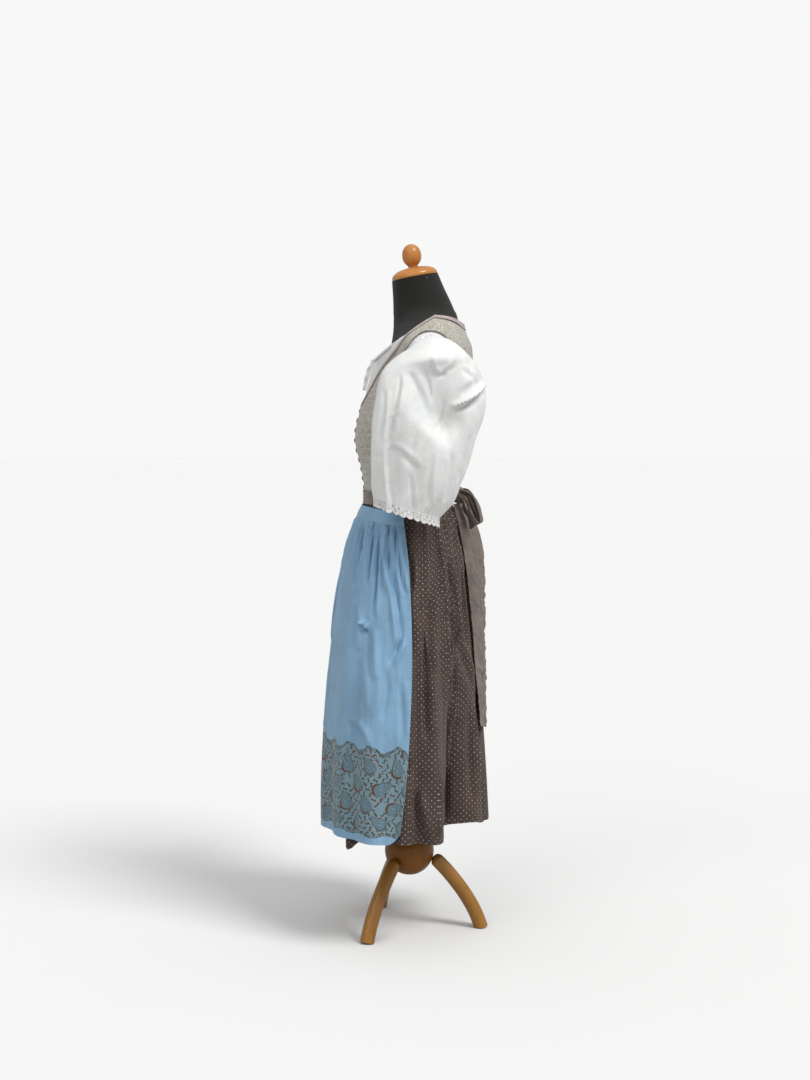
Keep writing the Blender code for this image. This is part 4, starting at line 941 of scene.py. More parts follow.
# ---------------------------------------------------------------- sleeves
Dent = namedtuple("Dent", "y z half_deep half_high depth")
Hollow = namedtuple("Hollow", "z y half_wide depth")
SLEEVE_HOLLOW = [  # the overhung hollow below the cap, narrowing downwards to its tip
    Hollow(1082, 90, 12, 0), Hollow(1102, 89, 14, 4), Hollow(1122, 86, 18, 15), Hollow(1142, 80, 25, 29),
    Hollow(1165, 72, 34, 35), Hollow(1195, 64, 42, 33), Hollow(1228, 58, 48, 28), Hollow(1256, 60, 56, 21),
    Hollow(1276, 64, 62, 9), Hollow(1290, 66, 66, 0),
]
SLEEVE_SHAVE, SLEEVE_REAR = 17, 4  # how far the cap's front is drawn down, and its rear drawn in
SLEEVE_DENTS = [
    Dent(108, 1160, 12, 26, 7), Dent(140, 1250, 26, 20, -8), Dent(56, 1290, 46, 15, -7),
    Dent(-26, 1110, 13, 120, 7), Dent(6, 1150, 22, 70, -4), Dent(118, 1120, 15, 80, 6),
    Dent(20, 1040, 15, 60, 5), Dent(66, 1040, 18, 60, -4),
]
SLEEVE_CREASES = [
    Crease(54, 1292, 60, 1266, 5, 3.5, -3, 0.9), Crease(60, 1264, 86, 1262, 5, 5.0, -6, 0.9),
    Crease(88, 1264, 112, 1290, 5, 3.5, -4, 0.9), Crease(8, 1262, 44, 1176, 7, 5.0, 4, 0.7),
    Crease(44, 1262, 52, 1210, 3, 3.0, 3, 0.8), Crease(84, 1203, 66, 1140, 4, 4.0, 4, 0.7),
    Crease(104, 1182, 176, 1234, 6, 13.0, -8, 1.15), Crease(118, 1214, 160, 1240, 7, 4.0, 4, 0.6),
    Crease(120, 1268, 150, 1240, 5, 4.5, 3, 0.8), Crease(132, 1288, 142, 1252, 4, 3.5, 2, 0.8),
    Crease(146, 1270, 160, 1240, 4, 3.0, 2, 0.7),
    Crease(-10, 1256, -26, 1172, 4.5, 5.0, 3, 0.8), Crease(-26, 1172, -36, 1106, 5, 5.0, 3, 0.8),
    Crease(-36, 1106, -20, 950, 5, 4.0, -4, -0.7), Crease(-34, 1104, 28, 1056, 7, 4.0, 5, 0.7),
    Crease(-44, 1226, -56, 1120, 5, 3.5, 3, 0.7), Crease(100, 1090, 84, 990, 6, 4.5, 3, -0.7),
    Crease(60, 1090, 50, 985, 5, 3.5, -3, 0.7), Crease(10, 1050, 16, 965, 4.5, 3.0, 2, 0.6),
    Crease(-52, 1060, -44, 975, 4.5, 3.0, 2, 0.6), Crease(136, 1130, 112, 1030, 5, 4.0, 4, 0.7),
    Crease(30, 1160, 14, 1080, 6, 2.5, -4, 0.6), Crease(120, 1060, 104, 985, 4.5, 3.0, 2, 0.6),
]


class DIRNDL_OT_sleeves(bpy.types.Operator):
    """Set the puff sleeves into the armholes, gathered above and below, with scalloped lace at the hem."""
    bl_idname = "dirndl.sleeves"
    bl_label = "Sleeves"

    def execute(self, context):
        cotton, lace = white_cotton(), cotton_lace()
        turns = np.linspace(-math.pi, math.pi, SLEEVE_TURNS + 1)
        hole = form_point(*armhole(turns), BLOUSE_OUT)
        hole = hole + unit(hole[:-1].mean(0) - hole) * (2 * SEAM_GAP + BLOUSE_THICK / 2)
        rings = [hole] + [sleeve_ring(*ring, turns) for ring in SLEEVE]
        base = through(rings, SLEEVE_ROWS)
        for name, seed in SLEEVE_SEEDS.items():
            creases = SLEEVE_CREASES if name == "left" else varied(SLEEVE_CREASES, 8)
            sleeve = puffed_sleeve(base, turns, creases, seed)
            band, band_uv, kept = lace_band(sleeve[-1], context.scene.dirndl_sizes.lace_deep / MM)
            if name == "right":
                sleeve, band = sleeve * (-1, 1, 1), band * (-1, 1, 1)
            else:
                sleeve = sleeve[:, ::-1]
            edging = shown(f"sleeve_lace_{name}_cloth", [(band, band_uv)], lace, SHEER_THICK,
                           kept=kept)
            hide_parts(f"sleeve_lace_{name}")
            obj = shown(f"sleeve_{name}_cloth", grid_of(sleeve), cotton,
                        BLOUSE_THICK)
            declare(obj, f"sleeve_{name}")
        return {"FINISHED"}


def puffed_sleeve(base, turns, creases, seed):
    """The sleeve's cloth: hollows, creases, cap gathers and hem gathers on its smooth rings."""
    points = base.copy()
    outside = np.maximum(np.sin(turns), 0)[None, :]
    z = points[..., 2]
    middle_y, half_wide, depth = hermite(SLEEVE_HOLLOW, z)
    depth = depth * ((z > SLEEVE_HOLLOW[0].z) & (z < SLEEVE_HOLLOW[-1].z))
    near = np.exp(-np.abs((points[..., 1] - middle_y) / half_wide) ** 2.2)
    points[..., 0] -= depth * near * smooth_step(outside, 0.1, 0.5)
    loose = smooth_step(lengths(base, 0), 2, 18)
    points[..., 2] -= SLEEVE_SHAVE * smooth_step(z, 1236, 1330) * smooth_step(points[..., 1], 62, 0) * loose
    points[..., 1] -= SLEEVE_REAR * bulge(z - 1240, 55) * smooth_step(points[..., 1], 105, 160) * loose
    for dent in SLEEVE_DENTS:
        near = bulge(points[..., 1] - dent.y, dent.half_deep) * bulge(points[..., 2] - dent.z, dent.half_high)
        points[..., 0] -= dent.depth * near * outside
    normal = -normals_of(points)
    middle = points.mean(1, keepdims=True)
    normal *= np.sign(np.sum(normal * (points - middle), -1, keepdims=True))
    run = lengths(points, 0)
    above, below = run, run[-1:] - run
    girth = turns[None, :] * SLEEVE_RADIUS
    top = smooth_step(np.sin(turns), -0.3, 0.5)[None, :]
    wander = 3 * uneven(girth, run, 40, seed)
    cap = np.sin((girth + wander) * 2 * np.pi / SLEEVE_CAP_PITCH) * bulge(above - 8, 24) * top
    hem = np.sin((girth + wander) * 2 * np.pi / SLEEVE_HEM_PITCH) * bulge(below, 20)
    long = uneven(girth, run * 0.2, 13, seed + 1) * (bulge(below, 60) + 0.8 * bulge(above, 55) * top)
    soft = uneven(girth, run * 0.6, 48, seed + 2) * 2.2 + uneven(girth, run * 0.5, 21, seed + 3) * 0.8
    start = smooth_step(above, 2, 12)
    amount = (1.7 * cap + 0.6 * hem + 2.0 * long + soft) * start + creased(points, normal, creases, "left")
    amount *= smooth_step(above, 0, 10)
    moved = points + normal * amount[..., None]
    moved[..., 0] = np.maximum(moved[..., 0], np.minimum(points[..., 0], ARM_SIDE))
    return moved


def lace_band(hem, deepest):
    """The lace below a sleeve's hem, scalloped, with round eyelets in two staggered rows. Gives its
    points, its cloth coordinates and which of its faces are there."""
    columns, rows = LACE_SCALLOPS * LACE_COLUMNS, LACE_ROWS
    at = np.linspace(0, len(hem) - 1, columns + 1)
    across = np.arange(columns + 1) / LACE_COLUMNS % 1
    arc, ripple = np.sqrt(np.clip(1 - (2 * across - 1) ** 2, 0, 1)), np.abs(np.sin(across * 5 * np.pi))
    scallop = 0.85 * arc + 0.15 * ripple
    long = LACE_VALLEY + (deepest - LACE_VALLEY) * scallop
    down = np.linspace(0, 1, rows + 1)[:, None]
    run = lengths(picked(hem, at)[None], 1)
    u, v = run + 0 * down, TIGHT_SEAM + (long - TIGHT_SEAM) * down
    kept = np.ones((rows, columns), bool)
    half = EYELET_REACH
    for k, centre in enumerate(range(LACE_COLUMNS // 2, columns - half, LACE_COLUMNS // 2), 1):
        row = int(np.abs(v[:, centre] - EYELET_DOWN[k % 2]).argmin())
        near = (slice(row - half, row + half + 1), slice(centre - half, centre + half + 1))
        turn = np.arctan2(*np.meshgrid(np.arange(-half, half + 1), np.arange(-half, half + 1), indexing="ij"))
        rim = np.ones((2 * half + 1, 2 * half + 1), bool)
        rim[1:-1, 1:-1] = False
        middle_u, middle_v = u[row, centre], v[row, centre]
        u[near] = np.where(rim, middle_u + EYELET_RADIUS * np.cos(turn), u[near])
        v[near] = np.where(rim, middle_v + EYELET_RADIUS * np.sin(turn), v[near])
        kept[row - half:row + half, centre - half:centre + half] = False
    where = np.interp(u.ravel(), run[0], at).reshape(u.shape)
    points = picked(hem, where)
    out = unit((points - hem[:-1].mean(0)) * (1, 1, 0))
    points[..., 2] -= v
    points += out * (0.5 * np.sin(u * (2 * np.pi * LACE_SCALLOPS / run[0, -1])) * v / deepest)[..., None]
    u = u * LACE_PITCH * LACE_SCALLOPS / run[0, -1]
    return points[::-1], np.stack([u, v], -1)[::-1], kept[::-1]


class DIRNDL_OT_bodice(bpy.types.Operator):
    """Cut the brocade bodice: two fronts that meet at the buttons, a back, and its piping."""
    bl_idname = "dirndl.bodice"
    bl_label = "Bodice"

    def execute(self, context):
        brocade = grey_brocade()
        taffeta = ribbed_taffeta("piping")
        smooth = half_panel(BODICE_FRONT)
        smooth[:, 0, 0] = np.maximum(smooth[:, 0, 0], SEAM_GAP / 2)
        front = fitted(smooth, BODICE_SEEDS["left"])
        rise = TRIM_OUT - BODICE_OUT  # the strips beside the necklines are measured from the bodice
        left = strip_beside(smooth[BODICE_FRONT.low * FINE:], PIPING_FRONT, rise, 0.8)
        other = mirrored(fitted(smooth, BODICE_SEEDS["right"]))
        for name, points, strip in (("left", front, left), ("right", other, mirrored(left))):
            piping = shown(f"piping_front_{name}_cloth", grid_of(strip), taffeta,
                           RIBBON_THICK)
            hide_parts(f"piping_front_{name}")
            obj = shown(f"bodice_front_{name}_cloth", grid_of(points), brocade,
                        BODICE_THICK)
            declare(obj, f"bodice_front_{name}")
        rear = half_panel(BODICE_BACK)
        behind = strip_beside(rear[BODICE_BACK.low * FINE:], PIPING_BACK, -rise, 0.8)
        behind[0, :, 0] = 0
        piping = shown("piping_back_cloth", halves(behind[:, ::-1]), taffeta, RIBBON_THICK)
        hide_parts("piping_back")
        back = halves(fitted(rear[:, ::-1], BODICE_SEEDS["back"]), -1)
        obj = shown("bodice_back_cloth", back, brocade, BODICE_THICK)
        declare(obj, "bodice_back")
        return {"FINISHED"}


def fitted(points, seed):
    """Brocade on the form: nearly smooth, with faint strain at the waist."""
    normal = normals_of(points)
    run = points[..., 2] - WAIST_SEAM
    girth = lengths(points, 1)
    strain = uneven(girth * 0.3, run, 12, seed + 1) * bulge(run, 60)
    amount = 0.5 * uneven(girth, run, 36, seed) + 0.6 * strain
    edge = smooth_step(np.minimum(girth, girth[:, -1:] - girth), 0, 8)
    return points + normal * (amount * edge)[..., None]


class DIRNDL_OT_buttons(bpy.types.Operator):
    """Turn one domed metal button with a beaded rim, and set copies of it down the front."""
    bl_idname = "dirndl.buttons"
    bl_label = "Buttons"

    def execute(self, context):
        size = context.scene.dirndl_sizes
        pattern = beaded_button(size.button_radius / MM)
        metal = dark_metal()
        for i in range(BUTTONS):
            height = np.array(BUTTON_TOP - i * BUTTON_STEP, float)
            angle = np.array(-math.pi / 2)
            seat = Vector(form_point(angle, height, BODICE_OUT + BUTTON_OFF)) * MM
            obj = bpy.data.objects.new(f"button_{i + 1}_metal", pattern.data.copy())
            context.scene.collection.objects.link(obj)
            obj.data.transform(Matrix.Translation(seat) @ facing(form_normal(angle, height)))
            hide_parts(f"button_{i + 1}")
            dressed(obj, metal)
        bpy.data.objects.remove(pattern)
        return {"FINISHED"}


def beaded_button(radius):
    """A domed button: its face drawn up in rings with inset steps, and round beads about its rim."""
    bpy.ops.object.select_all(action="DESELECT")
    bpy.ops.mesh.primitive_circle_add(vertices=BUTTON_SIDES, radius=radius * MM, fill_type="NGON")
    obj = bpy.context.object
    bpy.ops.object.mode_set(mode="EDIT")
    before, low = radius, 0.0
    for wide, high in BUTTON_STEPS:
        bpy.ops.mesh.extrude_region_move(TRANSFORM_OT_translate={"value": (0, 0, (high - low) * MM)})
        bpy.ops.transform.resize(value=(wide * radius / before, wide * radius / before, 1),
                                 center_override=(0, 0, high * MM))
        before, low = wide * radius, high
    bpy.ops.mesh.select_all(action="SELECT")
    bpy.ops.mesh.normals_make_consistent(inside=False)
    for k in range(BEADS):
        turn, out = 2 * math.pi * k / BEADS, BEAD_OUT * radius * MM
        at = (out * math.cos(turn), out * math.sin(turn), BEAD_UP * MM)
        bpy.ops.mesh.primitive_uv_sphere_add(segments=8, ring_count=6, radius=BEAD_RADIUS * MM, location=at)
    bpy.ops.object.mode_set(mode="OBJECT")
    bpy.ops.object.shade_smooth()
    return obj


# ---------------------------------------------------------------- skirt
SKIRT_SEED, GATHERS, GATHER_DEEP, GATHER_LONG = 211, 24, 2.8, 330
SKIRT_HIDDEN = {"right": (3, 12), "back": (4, 30), "front": (6, 30)}
SKIRT_CREASES = [
    Crease(14, 872, 15, 795, 4, 9, 1, 0.8), Crease(54, 775, 44, 480, 9, 13, -4, 0.7),
    Crease(95, 868, 106, 690, 8, 10, -2, 0.8), Crease(112, 700, 106, 550, 8, 10, 3, -0.7),
    Crease(140, 535, 146, 325, 9, 11, 2, 0.7), Crease(20, 365, 38, 262, 8, 11, 2, 0.7),
    Crease(90, 395, 88, 270, 7, 11, 1, -0.7), Crease(72, 905, 80, 770, 7, 8, 1, 0.7),
    Crease(28, 660, 22, 450, 10, 9, 2, -0.56), Crease(126, 830, 138, 650, 8, 9, 2, 0.7),
]


def skirt_cloth(degrees, height, seed):
    """Points of the skirt: folds, gathers at the waist, and slow unevenness from fold to fold."""
    fraction = (height - HEM) / (WAIST_SEAM - HEM)
    below = WAIST_SEAM - height
    out = fold_out(SKIRT_FOLDS, degrees, fraction)
    out = out + gather_out(degrees, below, GATHERS, GATHER_DEEP, GATHER_LONG)
    wander = degrees + 1.6 * uneven(degrees, height, 60, seed)
    notch = (GATHERS * wander / 360 + 0.25) % 1 - 0.5
    out -= 2.4 * bulge(0.5 - np.abs(notch), 0.22) * bulge(below - 30, 105) * smooth_step(below, 4, 26)
    out += 1.5 * np.sin(np.radians(71 * wander)) * bulge(below - 20, 60) * smooth_step(below, 3, 20)
    out += 2.6 * uneven(degrees / 3.2, height / 420, 1, seed + 1) * smooth_step(below, 30, 200)
    out += 1.1 * uneven(degrees / 1.6, height / 240, 1, seed + 2) * smooth_step(below, 60, 200)
    out += 3.0 * bulge(degrees - 83, 13) * smooth_step(below, 60, 200)
    covered = smooth_step(90 + hermite(APRON_EDGE, height)[0] - np.abs(degrees + 90), 2, 10)
    out -= SKIRT_TUCK * covered * smooth_step(below, 30, 60) * smooth_step(height, 330, 420)
    return skirt_point(np.radians(degrees), height, out)


class DIRNDL_OT_skirt(bpy.types.Operator):
    """Hang the gathered skirt from the waist seam, a front and a back panel seamed at the sides."""
    bl_idname = "dirndl.skirt"
    bl_label = "Skirt"

    def execute(self, context):
        finish = dotted_cotton()
        share = np.linspace(0, 1, SKIRT_ROWS + 1)[:, None]
        heights = HEM + (WAIST_SEAM - SKIRT_TOP_GAP - HEM) * share
        for name, start in (("front", -180.0), ("back", 0.0)):
            degrees = start + np.linspace(0, 180, SKIRT_COLUMNS + 1)[None, :]
            points = skirt_cloth(degrees, heights, SKIRT_SEED)
            points[..., 2] -= hem_drop(degrees, heights)
            hidden = {side: SKIRT_HIDDEN[side] for side in ("right", name)}
            points = pressed(points, normals_of(points), SKIRT_CREASES, hidden)
            points[:, 0] += unit(points[:, 1] - points[:, 0]) * TIGHT_SEAM
            points[:, -1] += unit(points[:, -2] - points[:, -1]) * TIGHT_SEAM
            obj = shown(f"skirt_{name}_cloth", [(points, gathered_uv(points, degrees))], finish,
                        SKIRT_THICK)
            declare(obj, f"skirt_{name}")
        return {"FINISHED"}


def gathered_uv(points, degrees):
    """Cloth coordinates of a gathered panel. Between two gathers the cloth keeps its true width, and the
    width that the gathers take up is left out where the cloth turns in behind them."""
    run = lengths(points, 1)
    strip = np.floor(GATHERS * degrees[0] / 360 + 0.75).astype(int)
    strip -= strip[0]
    u = np.empty(points.shape[:2])
    for k in range(strip.max() + 1):
        inside = np.flatnonzero(strip == k)
        middle = (inside[0] + inside[-1]) // 2
        u[:, inside] = run[0, middle] + run[:, inside] - run[:, middle:middle + 1]
    return cloth_uv(points, across=u)


# ---------------------------------------------------------------- apron
APRON_SEED, APRON_GATHERS, APRON_GATHER_DEEP, APRON_GATHER_LONG = 19, 34, 3.6, 220
APRON_HIDDEN = {"right": (21, 12), "front": (22, 30)}
BAND_CROWN = 0.7
APRON_CLEAR, APRON_SOFT = 1.0, 1.2  # how near the skirt's smooth shape its folds may come, and how softly
SKIRT_TUCK = 4.5  # how far the skirt is pressed in below the apron
APRON_CREASES = [
    Crease(-36, 934, -34, 838, 3.6, 13.0, 0, -0.8), Crease(-67, 938, -82, 803, 4, 11.5, 3, 0.7),
    Crease(-88, 926, -111, 790, 4.6, 11.0, -3, 0.7), Crease(-57, 936, -70, 735, 5, 10.0, 3, 0.7),
    Crease(-20, 930, 0, 790, 4.2, 9.0, -3, 0.7), Crease(-34, 846, -8, 682, 6.5, 10.0, 5, -0.8),
    Crease(-8, 690, -35, 640, 6.5, 7.0, 0, 0.75), Crease(-8, 690, -20, 660, 5, 6.0, 0, 0.6),
    Crease(-100, 716, -80, 706, 5, 10.0, -3, 1.1), Crease(-78, 706, -78, 605, 8, 8.5, 2, 0.9),
    Crease(-110, 752, -115, 662, 7, 6.8, 2, 0.9), Crease(-124, 505, -88, 452, 8, 6.8, 10, 1.05),
    Crease(-50, 880, -46, 800, 4, 5.4, 1, 0.75), Crease(-100, 640, -96, 540, 8, 5.4, 2, 0.75),
    Crease(-40, 620, -52, 520, 9, 5.4, 4, -0.75), Crease(-12, 600, -6, 480, 8, 5.4, 2, 0.75),
]


def apron_angle(across, height):
    """The angle round the stand of a place on the apron. Across is -1 at its right edge and 1 at its left."""
    return -90 + across * (90 + hermite(APRON_EDGE, height)[0])


def apron_cloth(across, height):
    """Points of the apron: folds, gathers below its band, and slow unevenness."""
    degrees, seed = apron_angle(across, height), APRON_SEED
    fraction = (height - HEM) / (APRON_TOP - HEM)
    out = hermite(APRON, height)[0] + fold_out(APRON_FOLDS, degrees, fraction)
    below = np.maximum(APRON_TOP - APRON_BAND - APRON_DROP * across**2 - height, 0)
    out = out + gather_out(degrees, below, APRON_GATHERS, APRON_GATHER_DEEP, APRON_GATHER_LONG, 10)
    wander = degrees + 1.2 * uneven(degrees, height, 50, seed)
    out += 1.5 * np.sin(np.radians(97 * wander)) * bulge(below - 10, 46) * smooth_step(below, 0.5, 6)
    out += 1.8 * uneven(degrees / 4.0, height / 300, 1, seed + 1) * smooth_step(below, 20, 160)
    out += 0.7 * uneven(degrees / 1.8, height / 170, 1, seed + 2) * smooth_step(below, 20, 120)
    return skirt_point(np.radians(degrees), height, out)


class DIRNDL_OT_apron(bpy.types.Operator):
    """Gather the printed apron onto its band over the front of the skirt."""
    bl_idname = "dirndl.apron"
    bl_label = "Apron"

    def execute(self, context):
        across = np.linspace(-1, 1, APRON_COLUMNS + 1)[None, :]
        top = APRON_TOP - APRON_DROP * across**2 - APRON_BAND - TIGHT_SEAM * 2
        corner = np.maximum(0, (np.abs(across) - 1 + APRON_CORNER_WIDE) / APRON_CORNER_WIDE)
        foot = HEM + APRON_CORNER_RISE * corner**2
        share = np.linspace(0, 1, APRON_ROWS + 1)[:, None]
        heights = foot + (top - foot) * share
        points = apron_cloth(across, heights)
        normal = normals_of(points)
        points = pressed(points, normal, APRON_CREASES, APRON_HIDDEN)
        inner = skirt_point(np.radians(apron_angle(across, heights)), heights, APRON_CLEAR)
        clear = np.sum((points - inner) * normal, -1)
        points = points + normal * (APRON_SOFT * np.log1p(np.exp(-clear / APRON_SOFT)))[..., None]
        hem = lengths(points, 1)[0]
        u = hem[None, :] - hem[-1] / 2
        v = lengths(points, 0) + corner**2 * APRON_CORNER_RISE
        obj = shown("apron_panel_cloth", [(points, cloth_uv(points, u, v))], printed_cotton(),
                    APRON_THICK)
        declare(obj, "apron_panel")
        across = np.linspace(-1, 1, BAND_COLUMNS + 1)[None, :]
        down = np.linspace(1, 0, BAND_ROWS + 1)[:, None]
        height = APRON_TOP - APRON_DROP * across**2 - APRON_BAND * down
        band = apron_cloth(across, height)
        band += normals_of(band) * (BAND_CROWN * np.sin(np.pi * down) + 0 * across)[..., None]
        obj = shown("apron_band_cloth", [(band, cloth_uv(band) + (0, 1000))], printed_cotton(),
                    APRON_THICK)
        declare(obj, "apron_band")
        return {"FINISHED"}


# ---------------------------------------------------------------- sash
class DIRNDL_OT_sash(bpy.types.Operator):
    """Wind the ribbed taffeta sash round the waist and tie it in a bow at the back."""
    bl_idname = "dirndl.sash"
    bl_label = "Sash"

    def execute(self, context):
        taffeta = ribbed_taffeta()
        turns = np.linspace(-math.pi, math.pi, SASH_COLUMNS + 1)[None, :]
        height = np.linspace(SASH_FOOT, SASH_FOOT + SASH_WIDTH, SASH_ROWS + 1)[:, None]
        band = form_point(turns, height, SASH_OUT)
        girth, up = lengths(band, 1), height - SASH_FOOT
        wander = 2.5 * uneven(girth, 0, 70, SASH_SEED)
        pleat = SASH_PLEAT_DEEP * np.sin(2 * np.pi * (up + wander) / SASH_PLEAT_PITCH)
        band += normals_of(band) * (pleat * np.sin(np.pi * up / SASH_WIDTH) ** 0.5)[..., None]
        band[:, -1] = band[:, 0]
        obj = shown("sash_band_cloth", grid_of(band), taffeta, SASH_THICK)
        declare(obj, "sash_band")
        knot = bow_knot()
        obj = shown("bow_knot_cloth", grid_of(knot), taffeta, 0)
        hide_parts("bow_knot")
        for name, seed in LOOP_SEEDS.items():
            points = bow_loop(seed)
            points = mirrored(points) if name == "right" else points
            obj = shown(f"bow_loop_{name}_cloth", grid_of(points), taffeta,
                        RIBBON_THICK, merge=0.0)
            declare(obj, f"bow_loop_{name}")
        for name, table in (("left", TAIL_LEFT), ("right", TAIL_RIGHT)):
            points = bow_tail(table, TAIL_SEEDS[name])
            obj = shown(f"bow_tail_{name}_cloth", grid_of(points), taffeta,
                        RIBBON_THICK)
            declare(obj, f"bow_tail_{name}")
        return {"FINISHED"}


def bow_knot():
    """The knot: a short wrapped roll, pinched by the folds that run round it."""
    half_x, half_y, half_z = KNOT_HALF
    lean = np.linspace(0, math.pi, KNOT_RINGS + 1)[:, None]
    turn = np.linspace(0, 2 * math.pi, KNOT_TURNS + 1)[None, :]
    tuck = 1 + 0.035 * np.sin(9 * lean + 1.5 * np.sin(turn)) + 0.02 * np.sin(5 * turn)
    x = -half_x * signed_power(np.cos(lean), 0.6) + 0 * turn
    y = half_y * signed_power(np.sin(lean), 0.6) * signed_power(np.cos(turn), 0.7) * tuck
    z = half_z * signed_power(np.sin(lean), 0.6) * signed_power(np.sin(turn), 0.7) * tuck
    return np.stack([x, y + KNOT_Y, z + KNOT_Z], -1)


def bow_loop(seed):
    """A drooping ribbon loop from the knot, out and back. Its back half is spread and pleated; its front
    half is gathered into a narrow strip, so that the pleated inside shows beside it."""
    head, tip = np.array(LOOP_HEAD, float), np.array(LOOP_TIP, float)
    start = np.array([KNOT_HALF[0] + LOOP_START, KNOT_Y, KNOT_Z])
    turn = np.linspace(0, 2 * math.pi, LOOP_STEPS + 1)[:, None]
    side = np.linspace(-0.5, 0.5, LOOP_COLUMNS + 1)[None, :]
    out = (1 - np.cos(turn)) / 2
    middle = start + head * 2 * out * (1 - out) + tip * out ** 2
    ahead = unit(head * (1 - 2 * out) + tip * out)
    spread = np.minimum(out / 0.45, 1)
    thick = unit(np.array([0, 1, 0]) - ahead * ahead[:, 1:2])
    wide = np.cross(ahead, thick)
    twist = np.radians(LOOP_TWIST) * spread
    thick, wide = thick * np.cos(twist) - wide * np.sin(twist), wide * np.cos(twist) + thick * np.sin(twist)
    breadth = LOOP_PINCH + (LOOP_WIDE - LOOP_PINCH) * np.sin(spread * np.pi / 2)
    away = LOOP_THICK / 2 * np.sin(turn) * np.abs(np.sin(turn / 2)) ** 0.6
    away = away + 2.2 * (1 - spread) * np.where(turn < np.pi, 1, -1)
    long = np.linalg.norm(tip)
    gather = 2.0 * np.cos(2 * np.pi * 4 * side) * (1 - spread) * smooth_step(out * long, 0, 5)
    radiate = 3.0 * uneven(side * 60 + 0 * turn, out * 22 + 40 * (turn > np.pi), 15, seed + 3)
    crumple = 1.8 * uneven(out * long + 200 * (turn > np.pi), side * 60 + 0 * turn, 15, seed)
    loose = smooth_step(out * long, 4, 26)
    pleats = 3.2 * np.sin(side * 2 * np.pi * 4.2 + 1.1 * uneven(side * 60 + 0 * turn, out * 60, 22, seed + 7))
    pleats = pleats * bulge(np.maximum(turn - 2.6, 0), 0.35) * (0.35 + 0.65 * spread)
    depth = away + gather + (radiate * (1 - 0.4 * spread) + crumple + pleats) * loose
    front = smooth_step(turn, np.pi - 0.4, np.pi + 0.5)
    across = side * (1 - 0.72 * front) + LOOP_STRIP * front * spread
    return middle[:, None] + depth[..., None] * thick[:, None] + (breadth * across)[..., None] * wide[:, None]


def bow_tail(edges, seed):
    """A hanging ribbon end between its two edges, smooth above, crinkled lower down, cut on a slant."""
    table = np.array(edges[::-1], float)
    top, foot = edges[0].height, edges[-1].height
    t = np.linspace(0, 1, TAIL_COLUMNS + 1)[None, :]
    down = np.linspace(1, 0, TAIL_ROWS + 1)[:, None]
    height = top + (foot - top + TAIL_SLANT * t) * down
    inner_x, inner_y, outer_x, outer_y = hermite(table, height)
    points = np.stack([inner_x + (outer_x - inner_x) * t, inner_y + (outer_y - inner_y) * t, height], -1)
    width = np.linalg.norm(points[:, -1] - points[:, 0], axis=-1)[:, None] * t
    run = (1 - down) * (top - foot)
    slant = width * 0.9 - run * 0.55
    crinkle = 1.7 * uneven(slant, width + run, 10, seed) + 0.8 * uneven(slant + 40, width - run, 5, seed + 1)
    crease = 3.0 * bulge(run - TAIL_PINCH - 0.35 * width, 5) * smooth_step(t, 1.0, 0.6)
    crinkle = crinkle * (0.7 + 0.6 * (1 - t)) - crease
    cup = -4.0 * np.sin(np.pi * t) * smooth_step(down, 0.03, 0.2)
    pleat = (3.0 * bulge(t - 0.84, 0.14) - 6.0 * bulge(t - 0.62, 0.09)) * smooth_step(down, 0.19, 0.10)
    fold = 1.4 * uneven(width, run * 0.15, 13, seed + 2)
    depth = cup + pleat + fold * smooth_step(down, 0.02, 0.1) + crinkle * smooth_step(down, 0.18, 0.27)
    normal = normals_of(points)
    return points + normal * depth[..., None]


# ================================================================ finishes
class Wire:
    """A number in a node tree. Sums, products and the calls below lay Math nodes."""

    def __init__(self, tree, socket):
        self.tree, self.socket = tree, socket

    def math(self, operation, *others):
        node = self.tree.nodes.new("ShaderNodeMath")
        node.operation = operation
        for socket, value in zip(node.inputs, (self, *others)):
            plug(self.tree, value, socket)
        return Wire(self.tree, node.outputs[0])

    def rise(self, low, high, to_low=0.0, to_high=1.0):
        """Goes smoothly from one value to another as this number goes from low to high."""
        node = self.tree.nodes.new("ShaderNodeMapRange")
        node.interpolation_type = "SMOOTHSTEP"
        for name, value in (("Value", self), ("From Min", low), ("From Max", high),
                            ("To Min", to_low), ("To Max", to_high)):
            plug(self.tree, value, node.inputs[name])
        return Wire(self.tree, node.outputs["Result"])

    def line(self, at, half, soft=0.35):
        """1 where this number is within half of at, with a soft edge."""
        return (self - at).abs().rise(half + soft, half)


MATH_CALLS = {
    "__add__": "ADD", "__sub__": "SUBTRACT", "__mul__": "MULTIPLY", "__truediv__": "DIVIDE",
    "__pow__": "POWER", "floor": "FLOOR", "fract": "FRACT", "abs": "ABSOLUTE", "sin": "SINE", "cos": "COSINE",
    "root": "SQRT", "least": "MINIMUM", "most": "MAXIMUM",
}
for call, operation in MATH_CALLS.items():
    setattr(Wire, call, functools.partialmethod(Wire.math, operation))


def plug(tree, value, socket):
    """Sets a socket, or links a wire or another socket to it."""
    if isinstance(value, Wire):
        value = value.socket
    if isinstance(value, bpy.types.NodeSocket):
        tree.links.new(value, socket)
    elif socket.type == "RGBA":
        socket.default_value = (*value, 1.0)
    else:
        socket.default_value = value


def vector(tree, x, y, z=0.0):
    """Three numbers as one place."""
    node = tree.nodes.new("ShaderNodeCombineXYZ")
    for socket, value in zip(node.inputs, (x, y, z)):
        plug(tree, value, socket)
    return node.outputs[0]


def blend(tree, share, first, second):
    """Two colours mixed by a share from 0 to 1."""
    node = tree.nodes.new("ShaderNodeMix")
    node.data_type = "RGBA"
    sockets = [s for s in node.inputs if s.enabled]
    for socket, value in zip(sockets, (share, first, second)):
        plug(tree, value, socket)
    return next(s for s in node.outputs if s.enabled)


